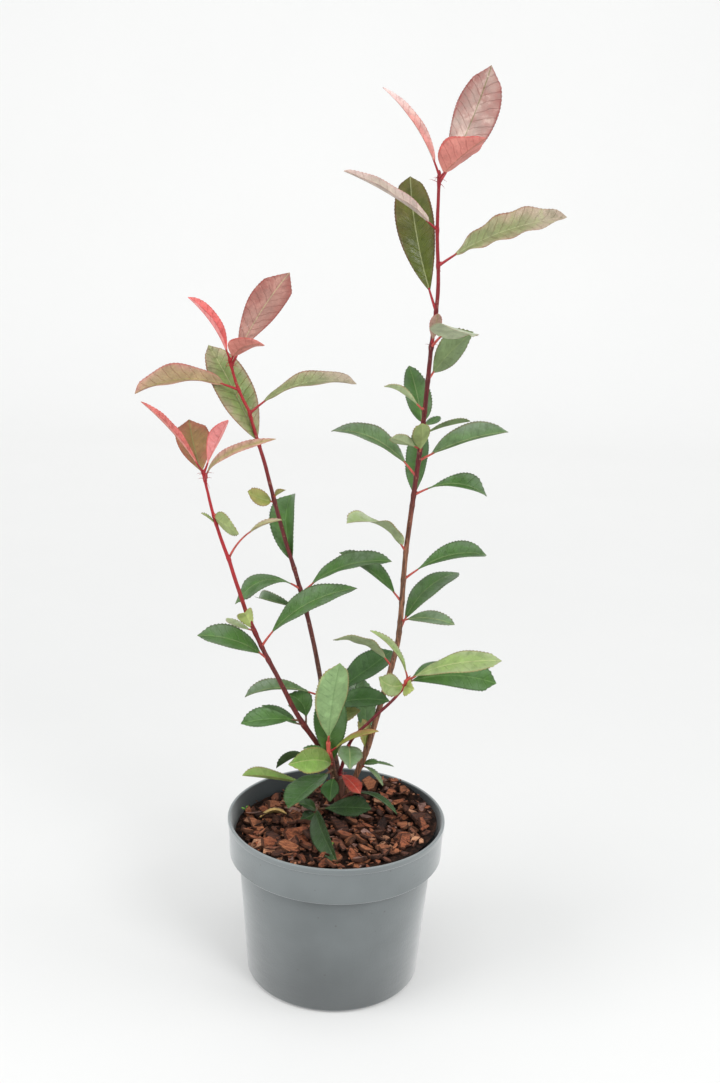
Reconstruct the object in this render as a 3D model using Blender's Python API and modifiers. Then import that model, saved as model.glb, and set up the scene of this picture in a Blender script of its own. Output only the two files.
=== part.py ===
"""Potted photinia shrub: three leaning stems, a side twig and low shoots in a round nursery pot.

Units are millimetres in the tables below and metres in the meshes. The origin is the
centre of the pot's flat underside, +Z is up and -Y is the side that is seen first.
"""
import math
from collections import namedtuple

import bmesh
import bpy
import numpy as np
from mathutils import Vector

MM = 0.001
CLEAR = 0.3                     # gap kept between touching solids

# Pot: outer sizes of a 17 cm nursery pot
POT_HEIGHT = 130.0
RIM_RADIUS = 83.6
FOOT_RADIUS = 66.7
FOOT_ROUND = 3.0
COLLAR_DROP = 29.0              # height of the wide band under the rim
COLLAR_FOOT_RADIUS = 81.9
NECK_RADIUS = 74.8              # body radius just under the collar
LIP_HEIGHT = 4.0
LIP_PROUD = 0.7
WALL = 2.3
FLOOR = 3.0
POT_SIDES = 40
POT_TURN = 2.25                 # degrees, so that no corner lies exactly on an axis

# Growing mix and its bark mulch
MIX_LEVEL = 120.6
MIX_SLOPE = (0.02, -0.045)      # rise along X and along Y: it lies higher on the right and in front
MIX_ROUGH = 0.7
MIX_MARGIN = 0.5                # from the pot's inner wall
FOOT_LEVEL = 121.3              # flat seat of the trunk
SEAT_RADIUS = 10.0
CHIP_COUNT = 46
CHIP_SIZE = (9.0, 19.0)
CHIP_SEED = 11

# Limbs
LIMB_RESOLUTION = 2             # bevel resolution: 12 sides
SAMPLE_STEP = 11.0              # spacing of the rings along a limb
TRUNK_STEP = 3.5
OVERRUN = 4.0                   # length made past each end before it is cut level

# Leaf solids
PETIOLE_HALF = 0.85
EDGE_THICK = 0.6
RIB_THICK = 1.3
TIP_HALF = 0.7
BLADE_STEPS = (0.0, 0.14, 0.32, 0.52, 0.72, 0.88, 1.0)

# A leaf: height of its foot on the limb, directions in degrees, sizes in millimetres; bend and
# sway as shares of the length, peak the share of the blade where it is widest, tail how blunt
# the tip is, twist the turn of the blade from foot to tip
Leaf = namedtuple("Leaf", "up heading rise length width bend roll fold sway stalk peak twist tail",
                  defaults=(0.1, 0, 18, 0.0, 0.14, 0.55, 0, 0.78))

# Centre lines, foot to tip. Heights must rise all the way.
TRUNK = [(4.3, 22, FOOT_LEVEL + CLEAR, 7.5), (3.9, 22, 124.5, 5.6), (2.4, 22, 131, 4.8),
         (1.0, 21, 145, 4.9), (-0.5, 20, 153, 5.8), (-1.0, 19.5, 159, 4.6)]
TALL = [(3, 23, 126), (12, 25, 145), (23, 26, 176), (33, 28, 218), (43, 30, 263), (46, 32, 332),
        (51, 33, 388), (55, 34, 433), (58, 34, 487), (61, 34, 529), (58.5, 34, 570), (58, 34, 611)]
MIDDLE = [(0, 22, 150), (-1, 25, 160), (-7, 26, 182), (-11, 27, 202), (-20, 28, 253), (-32, 29, 300),
          (-48, 30, 352), (-61, 31, 399), (-73, 31, 438), (-82, 32, 456), (-88, 32, 477)]
LEFT = [(-2, 19, 150), (-6, 18, 161), (-13, 16, 175), (-32, 12, 207), (-45, 10, 233), (-60, 7, 264),
        (-72, 4, 293), (-84, 0, 333), (-93, -3, 360), (-99, -6, 385), (-102, -8, 401)]
RIGHT = [(0, 18, 152), (3, 14, 164), (10, 10, 189), (27, 7, 210), (44, 3, 231), (51.5, 0, 245)]
FRONT = [(-2, 17, 150), (-3, 12, 160), (-5, 10, 172), (-7.5, 8.5, 180), (-8, 8, 188)]
FOOT_LEFT = [(0, 20.5, 136), (-6, 18.3, 141), (-12, 17, 146)]
FOOT_RIGHT = [(1.5, 21, 131), (7, 16, 137.5), (12, 12, 143)]
SPROUT = [(-16, 13, FOOT_LEVEL + CLEAR), (-16, 12.5, 125.5), (-15, 12, 131)]


def spline(route, height):
    """Point of a smooth curve through the route's points at a given height, straight past its ends."""
    pts = [Vector(p[:3]) for p in route]
    if height <= pts[0].z:
        return pts[0] + (pts[1] - pts[0]) * (height - pts[0].z) / (pts[1].z - pts[0].z)
    if height >= pts[-1].z:
        return pts[-1] + (pts[-1] - pts[-2]) * (height - pts[-1].z) / (pts[-1].z - pts[-2].z)
    i = max(k for k in range(len(pts) - 1) if pts[k].z <= height)
    low, high = pts[i], pts[i + 1]
    before = pts[i - 1] if i else low * 2 - high
    after = pts[i + 2] if i + 2 < len(pts) else high * 2 - low
    t = (height - low.z) / (high.z - low.z)
    point = 0.5 * (2 * low + (high - before) * t + (2 * before - 5 * low + 4 * high - after) * t * t
                   + (3 * low - before - 3 * high + after) * t ** 3)
    return Vector((point.x, point.y, height))


def clear_scene():
    for item in list(bpy.data.objects):
        bpy.data.objects.remove(item, do_unlink=True)
    for item in list(bpy.data.collections):
        bpy.data.collections.remove(item)


def new_collection(name):
    group = bpy.data.collections.new(name)
    bpy.context.scene.collection.children.link(group)
    return group


def paint(name, colour, roughness):
    material = bpy.data.materials.new(name)
    material.use_nodes = True
    shader = material.node_tree.nodes["Principled BSDF"]
    shader.inputs["Base Color"].default_value = (*colour, 1)
    shader.inputs["Roughness"].default_value = roughness
    shader.inputs["Metallic"].default_value = 0
    return material


def add_object(name, mesh, group, material=None):
    item = bpy.data.objects.new(name, mesh)
    group.objects.link(item)
    if material:
        mesh.materials.clear()
        mesh.materials.append(material)
    return item


def mesh_from(verts, faces, name):
    mesh = bpy.data.meshes.new(name)
    bm = bmesh.new()
    made = [bm.verts.new(Vector(v) * MM) for v in verts]
    for face in faces:
        bm.faces.new([made[k] for k in face])
    bmesh.ops.recalc_face_normals(bm, faces=bm.faces)
    bm.to_mesh(mesh)
    bm.free()
    return mesh


def limb(name, route, radii, low, high, group, material, grow=0.0, step=SAMPLE_STEP):
    """A tapering limb between two heights, cut level at both ends."""
    steps = max(2, int(round((high - low) / step)) + 1)
    heights = [low + (high - low) * k / (steps - 1) for k in range(steps)]
    heights = [low - OVERRUN] + heights[1:-1] + [high + OVERRUN]
    curve = bpy.data.curves.new(name, "CURVE")
    curve.dimensions = "3D"
    curve.bevel_depth = MM
    curve.bevel_resolution = LIMB_RESOLUTION
    curve.use_fill_caps = True
    line = curve.splines.new("POLY")
    line.points.add(len(heights) - 1)
    for point, height in zip(line.points, heights):
        point.co = (*(spline(route, height) * MM), 1)
        point.radius = float(np.interp(height, radii[0], radii[1])) + grow
    source = bpy.data.objects.new(name + "_line", curve)
    group.objects.link(source)
    mesh = solid_of(source)
    bpy.data.objects.remove(source, do_unlink=True)
    cut_level(mesh, low, -1)
    cut_level(mesh, high, 1)
    return add_object(name, mesh, group, material)


def grow_top(mesh, height):
    """Raise a level top by the clearance."""
    for vert in mesh.vertices:
        if vert.co.z > (height - 0.01) * MM:
            vert.co.z += CLEAR * MM


def cut_level(mesh, height, side):
    """Cut a closed mesh off at a height and close it with a flat face."""
    bm = bmesh.new()
    bm.from_mesh(mesh)
    cut = bmesh.ops.bisect_plane(bm, geom=bm.verts[:] + bm.edges[:] + bm.faces[:], dist=1e-7,
                                 plane_co=(0, 0, height * MM), plane_no=(0, 0, side), clear_outer=True)
    rim = [e for e in cut["geom_cut"] if isinstance(e, bmesh.types.BMEdge)]
    bmesh.ops.holes_fill(bm, edges=rim, sides=0)
    bmesh.ops.recalc_face_normals(bm, faces=bm.faces)
    bm.to_mesh(mesh)
    bm.free()


def solid_of(item):
    """The evaluated mesh of an object, with its loose caps welded."""
    graph = bpy.context.evaluated_depsgraph_get()
    mesh = bpy.data.meshes.new_from_object(item.evaluated_get(graph))
    bm = bmesh.new()
    bm.from_mesh(mesh)
    bmesh.ops.remove_doubles(bm, verts=bm.verts, dist=0.00002)
    bmesh.ops.recalc_face_normals(bm, faces=bm.faces)
    bm.to_mesh(mesh)
    bm.free()
    mesh.transform(item.matrix_world)
    return mesh


def settle(item):
    """Apply an object's modifiers."""
    mesh = solid_of(item)
    item.modifiers.clear()
    old = item.data
    item.data = mesh
    bpy.data.meshes.remove(old)


def fuse(item, parts):
    """Union the objects of a collection into one object and remove them."""
    step = item.modifiers.new("fuse", "BOOLEAN")
    step.operation = "UNION"
    step.operand_type = "COLLECTION"
    step.collection = parts
    step.solver = "EXACT"
    settle(item)
    for part in list(parts.objects):
        bpy.data.objects.remove(part, do_unlink=True)
    bpy.data.collections.remove(parts)


def cut_by(item, cutter):
    step = item.modifiers.new("cut", "BOOLEAN")
    step.operation = "DIFFERENCE"
    step.object = cutter
    step.solver = "EXACT"
    settle(item)


def leaf_frame(leaf):
    """Chord direction, upper side and left side of a leaf."""
    heading, rise, roll = (math.radians(v) for v in (leaf.heading, leaf.rise, leaf.roll))
    level = Vector((math.cos(heading), math.sin(heading), 0))
    chord = level * math.cos(rise) + Vector((0, 0, math.sin(rise)))
    upper = level * -math.sin(rise) + Vector((0, 0, math.cos(rise)))
    left = upper.cross(chord)
    upper = upper * math.cos(roll) + left * math.sin(roll)
    return chord, upper, upper.cross(chord)


def half_width(leaf, u):
    """Half the blade's width at a share of the blade's length."""
    if u <= 0:
        return PETIOLE_HALF
    if u >= 1:
        return TIP_HALF
    rise = leaf.tail * leaf.peak / (1 - leaf.peak)
    top = leaf.peak ** rise * (1 - leaf.peak) ** leaf.tail
    return max(PETIOLE_HALF, leaf.width / 2 * u ** rise * (1 - u) ** leaf.tail / top)


def leaf_mesh(leaf, base, name):
    """A closed thin blade on its stalk, arched along the midrib and folded at it."""
    chord, upper, left = leaf_frame(leaf)
    stations = [0.0, leaf.stalk * 0.6] + [leaf.stalk + (1 - leaf.stalk) * u for u in BLADE_STEPS]

    def rib(t):
        arc = 4 * leaf.length * t * (1 - t)
        return base + chord * leaf.length * t + upper * arc * leaf.bend + left * arc * leaf.sway

    verts, faces = [], []
    fold = math.radians(leaf.fold)
    for t in stations:
        centre = rib(t)
        along = (rib(t + 0.01) - rib(t - 0.01)).normalized()
        up = (upper - along * upper.dot(along)).normalized()
        side = up.cross(along)
        u = (t - leaf.stalk) / (1 - leaf.stalk)
        turn = math.radians(leaf.twist * (min(1.0, max(0.0, u)) - 0.5))
        up = up * math.cos(turn) + side * math.sin(turn)
        side = up.cross(along)
        half = half_width(leaf, u)
        thick = RIB_THICK if u > 0.02 else 2 * PETIOLE_HALF
        rise = half * math.sin(fold) if u > 0 else 0
        reach = half * math.cos(fold) if u > 0 else half
        for share, lift in ((1, EDGE_THICK / 2), (0, thick / 2), (-1, EDGE_THICK / 2),
                            (-1, -EDGE_THICK / 2), (0, -thick / 2), (1, -EDGE_THICK / 2)):
            verts.append(centre + side * reach * share + up * (rise * abs(share) + lift))
    ring = 6
    for k in range(len(stations) - 1):
        for j in range(ring):
            a, b = k * ring + j, k * ring + (j + 1) % ring
            faces.append((a, b, b + ring, a + ring))
    last = (len(stations) - 1) * ring
    faces.append(tuple(range(ring)))
    faces.append(tuple(range(last, last + ring)))
    return mesh_from(verts, faces, name)


def foliage(name, route, radii, low, high, leaves, group, material, cutter=None):
    """One mass: a stretch of stem with its leaves fused on."""
    stem = limb(name, route, radii, low, high, group, material)
    blades = new_collection(name + "_blades")
    for k, leaf in enumerate(leaves):
        label = f"{name}_blade_{k}"
        add_object(label, leaf_mesh(leaf, spline(route, leaf.up), label), blades, material)
    fuse(stem, blades)
    if cutter:
        cut_by(stem, cutter)
    return stem


def wall_radius(height):
    """Outer radius of the pot's body below the collar."""
    top = POT_HEIGHT - COLLAR_DROP
    return FOOT_RADIUS + (NECK_RADIUS - FOOT_RADIUS) * height / top


def bore_radius(height):
    """Inner radius of the pot."""
    top = POT_HEIGHT - COLLAR_DROP
    if height <= top:
        return wall_radius(height) - WALL
    share = (height - top) / COLLAR_DROP
    return COLLAR_FOOT_RADIUS - WALL + (RIM_RADIUS - COLLAR_FOOT_RADIUS) * share


def make_pot(group, material):
    collar = POT_HEIGHT - COLLAR_DROP
    lip = POT_HEIGHT - LIP_HEIGHT
    profile = [(bore_radius(POT_HEIGHT), POT_HEIGHT), (RIM_RADIUS, POT_HEIGHT), (RIM_RADIUS, lip),
               (RIM_RADIUS - LIP_PROUD, lip - 0.6), (COLLAR_FOOT_RADIUS, collar), (NECK_RADIUS, collar),
               (FOOT_RADIUS, FOOT_ROUND), (FOOT_RADIUS - FOOT_ROUND, 0), (0, 0), (0, FLOOR)]
    profile += [(bore_radius(h), h) for h in (FLOOR, collar - 2, collar + 4)]
    mesh = bpy.data.meshes.new("pot")
    start = math.radians(POT_TURN)
    points = [(r * MM * math.cos(start), r * MM * math.sin(start), z * MM) for r, z in profile]
    edges = [(k, k + 1) for k in range(len(points) - 1)] + [(len(points) - 1, 0)]
    axis = next(k for k in range(len(points) - 1) if profile[k][0] == 0 and profile[k + 1][0] == 0)
    edges.remove((axis, axis + 1))
    mesh.from_pydata(points, edges, [])
    pot = add_object("pot", mesh, group, material)
    turn = pot.modifiers.new("turn", "SCREW")
    turn.steps = turn.render_steps = POT_SIDES
    turn.use_merge_vertices = True
    turn.merge_threshold = 0.0001
    turn.use_smooth_shade = True
    return pot


def mix_height(x, y):
    """Uneven level of the mulch."""
    wave = math.sin(x * 0.11 + 0.7) * math.cos(y * 0.13 - 0.7) + 0.6 * math.sin(x * 0.05 - y * 0.07)
    return MIX_LEVEL + MIX_SLOPE[0] * x + MIX_SLOPE[1] * y + MIX_ROUGH * wave


def make_growing_mix(group, material):
    """The filled inside of the pot, with bark chips fused on its top."""
    rng = np.random.default_rng(CHIP_SEED)
    sides = POT_SIDES
    turns = np.linspace(0, 2 * math.pi, sides, endpoint=False) + math.radians(POT_TURN)
    verts, faces = [], []
    collar = POT_HEIGHT - COLLAR_DROP
    side_levels = [FLOOR + CLEAR, collar - 2, collar + 4]
    top_shares = (1.0, 0.82, 0.62, 0.4, 0.2)
    rings = []
    for level in side_levels:
        radius = bore_radius(level) - MIX_MARGIN
        rings.append([(radius * math.cos(a), radius * math.sin(a), level) for a in turns])
    for share in top_shares:
        radius = (bore_radius(MIX_LEVEL - 5) - MIX_MARGIN) * share
        ring = []
        for a in turns:
            x, y = radius * math.cos(a), radius * math.sin(a)
            ring.append((x, y, mix_height(x, y)))
        rings.append(ring)
    for ring in rings:
        verts += ring
    for k in range(len(rings) - 1):
        for j in range(sides):
            a, b = k * sides + j, k * sides + (j + 1) % sides
            faces.append((a, b, b + sides, a + sides))
    verts += [(0, 0, side_levels[0]), (0, 0, mix_height(0, 0))]
    last = (len(rings) - 1) * sides
    for j in range(sides):
        faces.append((j, (j + 1) % sides, len(verts) - 2))
        faces.append((last + j, last + (j + 1) % sides, len(verts) - 1))
    body = add_object("growing_mix", mesh_from(verts, faces, "growing_mix"), group, material)

    chips = new_collection("chips")
    for route, radius in ((TRUNK, SEAT_RADIUS), (SPROUT, SEAT_RADIUS * 0.6)):
        bm = bmesh.new()
        bmesh.ops.create_cone(bm, cap_ends=True, segments=14, radius1=(radius + 4) * MM,
                              radius2=radius * MM, depth=12 * MM)
        mesh = bpy.data.meshes.new("seat")
        bm.to_mesh(mesh)
        bm.free()
        seat = add_object("seat", mesh, chips)
        seat.location = Vector((route[0][0], route[0][1], FOOT_LEVEL - 6)) * MM
    feet = [Vector(r[0][:2]) for r in (TRUNK, SPROUT)]
    for k in range(CHIP_COUNT):
        while True:
            radius, angle = 65 * math.sqrt(rng.random()), 2 * math.pi * rng.random()
            spot = Vector((radius * math.cos(angle), radius * math.sin(angle)))
            if min((spot - foot).length for foot in feet) > 22:
                break
        add_chip(k, spot, mix_height(spot.x, spot.y), rng, chips)
    bpy.context.view_layer.update()
    fuse(body, chips)
    return body


def add_chip(k, spot, level, rng, group):
    """An angular flake of bark, half sunk."""
    length = rng.uniform(*CHIP_SIZE)
    size = Vector((length, length * rng.uniform(0.45, 0.75), rng.uniform(2.6, 4.6)))
    bm = bmesh.new()
    bmesh.ops.create_cube(bm, size=1)
    for vert in bm.verts:
        vert.co = Vector(c * s * rng.uniform(0.6, 1.0) for c, s in zip(vert.co, size)) * MM
    bmesh.ops.triangulate(bm, faces=bm.faces)
    mesh = bpy.data.meshes.new("chip")
    bm.to_mesh(mesh)
    bm.free()
    chip = add_object(f"chip_{k}", mesh, group)
    chip.location = Vector((spot.x, spot.y, level + 0.4)) * MM
    chip.rotation_euler = (rng.uniform(-0.3, 0.3), rng.uniform(-0.3, 0.3), rng.uniform(0, 6.28))


# Thickness of each limb: heights and radii
TALL_RADII = ((126, 260, 450, 611), (2.5, 2.1, 1.7, 1.1))
MIDDLE_RADII = ((150, 250, 400, 477), (2.3, 1.8, 1.4, 0.95))
LEFT_RADII = ((150, 210, 330, 401), (2.3, 1.9, 1.4, 0.9))
RIGHT_RADII = ((152, 187, 243), (1.6, 1.25, 1.1))
FRONT_RADII = ((150, 188), (1.9, 1.5))
TWIG_RADII = ((119, 160), (1.6, 1.4))

TALL_FOOT = [
    Leaf(166, 98, 66, 64, 22, 0.06, -35, 5, peak=0.65, tail=0.85),
    Leaf(171, 128, 70, 28, 13, 0.1, 0, 20),
    Leaf(161, -26, 17, 16, 7, 0.06, -20, 15),
    Leaf(160, -46, -17, 27, 5, 0.15, 0, 20),
    Leaf(163, 7, -10, 26, 4, 0.05, -5, 15),
]
TALL_LOWER = [
    Leaf(242, -151, 30, 60, 16, 0.12, -30, 10, 0.06, peak=0.6, tail=0.65),
    Leaf(270, 39, 32, 71, 22, 0.18, -5, 5, tail=0.7),
    Leaf(279, -29, 8, 46, 14, 0.11, -25, 15),
    Leaf(294, 168, 35, 61, 23, 0.07, 10, 20, -0.02),
    Leaf(312, 20, 12, 70, 21, 0.17, -25, 25, peak=0.65),
    Leaf(334, -142, 28, 65, 23, 0.15, 0, 20, -0.05, stalk=0.08, twist=20, tail=0.5),
]
TALL_MIDDLE = [
    Leaf(370, 84, 43, 75, 22, -0.04, 35, 15),
    Leaf(378, 12, -2, 57, 21, 0.22, -30, 25, peak=0.7),
    Leaf(392, 160, 22, 74, 22, 0.21, 20, 20, 0.04),
    Leaf(404, 16, 16, 73, 25, 0.1, -20, 30, -0.04, tail=0.7),
    Leaf(410, -91, 51, 34, 14, -0.02, -15, 20, 0.02),
    Leaf(413, -131, 21, 36, 11, 0.07, -45, 20, -0.03),
    Leaf(427, 105, 46, 58, 20, -0.04, 5, 15, -0.04, peak=0.45, tail=0.7),
    Leaf(424, 25, 11, 41, 10, 0.04, 40, 20),
    Leaf(431, 57, 8, 24, 8, -0.07, -10, 15, -0.02),
    Leaf(441, -143, 29, 44, 8, 0.15, -30, 35, -0.06),
]
TALL_UPPER = [
    Leaf(464, 38, 38, 54, 28, 0.06, 80, 10, tail=0.85),
    Leaf(488, -63, 15, 58, 32, 0.15, 15, 0, -0.02, stalk=0.22, peak=0.4),
    Leaf(489, -78, 60, 29, 9, 0.04, 10, 20, stalk=0.2),
    Leaf(514, 125, 68, 100, 29, 0.08, 35, 20, 0.04, peak=0.6, tail=0.65),
]
TALL_TOP = [
    Leaf(546, -18, 23, 97, 27, 0.07, -45, 20, 0.02),
    Leaf(571, -166, 29, 79, 13, 0.085, 36, 44, 0.06, stalk=0.12, peak=0.45, tail=0.5),
    Leaf(603, 44, 59, 95, 33, -0.11, -60, 15, -0.06, peak=0.6, tail=0.65),
    Leaf(606, -55, 30, 55, 31, 0, 15, 30, -0.04, peak=0.45, tail=1),
    Leaf(608, 177, 54, 71, 12, 0.08, 30, 30, peak=0.45),
]
MIDDLE_BASE = [
    Leaf(214, 40, 20, 74, 26, 0.03, -15, 20, -0.03, peak=0.6, tail=0.8),
    Leaf(210, 62, -8, 62, 22, 0.1, -10, 20),
    Leaf(205, -20, 18, 55, 20, 0.13, -30, 15),
    Leaf(191, -14, 35, 31, 16, 0.1, -35, 15),
    Leaf(196, 80, 10, 62, 22, 0.15, 5, 20),
    Leaf(216, 165, -8, 65, 17, 0.15, 20, 30, peak=0.65, tail=0.65),
]
MIDDLE_LOWER = [
    Leaf(285, 143, 0, 48, 13, 0.23, 32, 50, 0.135, peak=0.58, tail=0.63),
    Leaf(299, -6, 24, 74, 22, 0.13, -20, 20, 0.02, tail=0.7),
    Leaf(303, -166, -11, 50.5, 24, 0.3, 13, 2, 0.01, stalk=0.1, peak=0.69, tail=0.69),
    Leaf(319, 97, 48, 63, 25, 0.18, 33, 32, -0.01, stalk=0.09, peak=0.59, tail=0.52),
]
MIDDLE_UPPER = [
    Leaf(370, -144, 25, 26, 12.5, -0.1, 63, 12, 0.01, stalk=0.11, peak=0.46, tail=0.65),
    Leaf(373, -58, 30, 20, 6, 0.07, 15, 20),
]
MIDDLE_TOP = [
    Leaf(413, 155, 58, 82, 30, 0.05, 35, 10, stalk=0.05, tail=0.7),
    Leaf(436, 3, 17, 81, 22, 0.15, -20, 20, peak=0.6, tail=0.65),
    Leaf(453, 180, -4, 76, 23, 0.14, 35, 35, -0.03, tail=0.6),
    Leaf(470, 31, 55, 81, 32, 0.03, -25, 5, 0.02, peak=0.65, tail=0.55),
    Leaf(474, -161, 56, 55, 14, 0.08, 35, 50, tail=0.7),
    Leaf(473, -53, 22, 48, 21, 0.08, 20, 15, -0.09, peak=0.5, tail=0.85),
]
LEFT_BASE = [
    Leaf(202, -160, 4, 48, 20, 0.08, 25, 20, peak=0.6, tail=0.95),
    Leaf(199, 141, 4, 44, 17, -0.07, -10, 35, tail=0.85),
    Leaf(197, 126, 34, 31, 20, 0.1, 25, 15, -0.2, stalk=0.2, peak=0.6),
]
LEFT_LOWER = [
    Leaf(253, -172, 21, 57, 24, 0.13, 25, 15, tail=0.7),
    Leaf(264, 9, 32, 84, 26, 0.19, -20, 15, -0.05, tail=0.95),
    Leaf(274, -109, 49, 31, 13, 0.17, -45, 25),
    Leaf(277, 135, 2, 32, 9, -0.03, 0, 10, 0.05),
]
LEFT_MIDDLE = [
    Leaf(334, -5, 39, 50, 8, 0.14, -10, 25, stalk=0.5),
    Leaf(367, -47, -13, 30, 16, 0, 75, 10, 0.02, stalk=0.05, peak=0.35, tail=0.9),
    Leaf(361, -160, 38, 14, 4, 0.04, 20, 20),
]
LEFT_TOP = [
    Leaf(395, 110, 34, 60, 27, -0.04, 10, 25, 0.02, peak=0.6, tail=0.6),
    Leaf(398.3, -172, 50, 68, 9, 0.05, 25, 50),
    Leaf(399, -38, 61, 48, 15, 0.06, 10, 30, 0.03, peak=0.6, tail=0.9),
    Leaf(394, -22, 33, 66, 8, 0.26, -60, 25, -0.03),
]
RIGHT_LOW = [
    Leaf(183, -87, -12, 29, 19, 0.15, 5, 15, stalk=0.06, peak=0.6, tail=0.55),
    Leaf(156, -62, 0, 36, 11, 0.11, -25, 15, 0.02, peak=0.7, tail=0.55),
]
RIGHT_TIP = [
    Leaf(243, -173, 53, 50, 10, 0.13, 20, 25, 0.02),
    Leaf(242, -22, 22, 77.5, 21, 0.155, -30, 4, -0.055, stalk=0.1, peak=0.67, tail=0.6),
    Leaf(241, 3, 0, 68, 19, -0.06, -65, 4, 0.09, stalk=0.05, peak=0.7, tail=0.4),
    Leaf(240, -142, 23, 29, 17, -0.04, 70, 15, 0.14, stalk=0.1, tail=0.65),
    Leaf(243, 49, 5, 41, 12, 0.07, 4, 11, -0.07, stalk=0.09, peak=0.59, tail=0.7),
    Leaf(239, -64, 7, 14, 13, 0.03, -65, 15, -0.08, stalk=0.05, tail=0.65),
]
FRONT_LEAVES = [
    Leaf(186, -67, 76, 75, 27, -0.02, 0, 15, -0.03, stalk=0.08, peak=0.6, tail=0.7),
    Leaf(178, -18, 32, 46, 11, 0.07, -10, 20),
    Leaf(167, -134, 18, 50, 23, 0.09, 70, 35, -0.07, stalk=0.06, peak=0.65, tail=0.55),
    Leaf(160, 60, 95, 70, 25, 0, -30, 3, 0.03, peak=0.6, tail=0.6),
    Leaf(163, -118, -3, 68, 27, 0.03, -10, 20),
    Leaf(177, 180, 10, 21, 4, 0.15, 10, 20),
    Leaf(157, -101, -50, 21, 16, 0.09, -15, 15),
]
FOOT_LEFT_LEAVES = [
    Leaf(145, -148, 20, 76, 16, 0, 10, 40, -0.02, peak=0.7, tail=0.9),
    Leaf(146, 135, -5, 54, 18, 0.3, -25, 20, -0.02),
]
FOOT_RIGHT_LEAVES = [
    Leaf(141, -35, -4, 44, 8, 0.17, 5, 20, -0.03),
]
SPROUT_LEAVES = [
    Leaf(128.5, -77, -3, 80, 19, 0.12, -60, 25, 0.06, tail=0.95),
    Leaf(127.5, -19, 12, 46, 21, 0.05, -25, 10, peak=0.65),
    Leaf(126.5, -139, 34, 22, 10, 0.17, 45, 20, 0.06, tail=0.6),
    Leaf(125, -134, -2, 17, 10, 0.1, 45, 20, 0.05, peak=0.6, tail=0.65),
]


# Colours in linear light
TONES = {
    "deep": (0.035, 0.07, 0.03),
    "green": (0.09, 0.19, 0.06),
    "sage": (0.15, 0.23, 0.1),
    "lime": (0.32, 0.42, 0.17),
    "bronze": (0.33, 0.27, 0.14),
    "rose": (0.47, 0.22, 0.19),
    "brown": (0.14, 0.07, 0.045),
    "maroon": (0.13, 0.02, 0.025),
    "red": (0.24, 0.03, 0.04),
}


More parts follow.
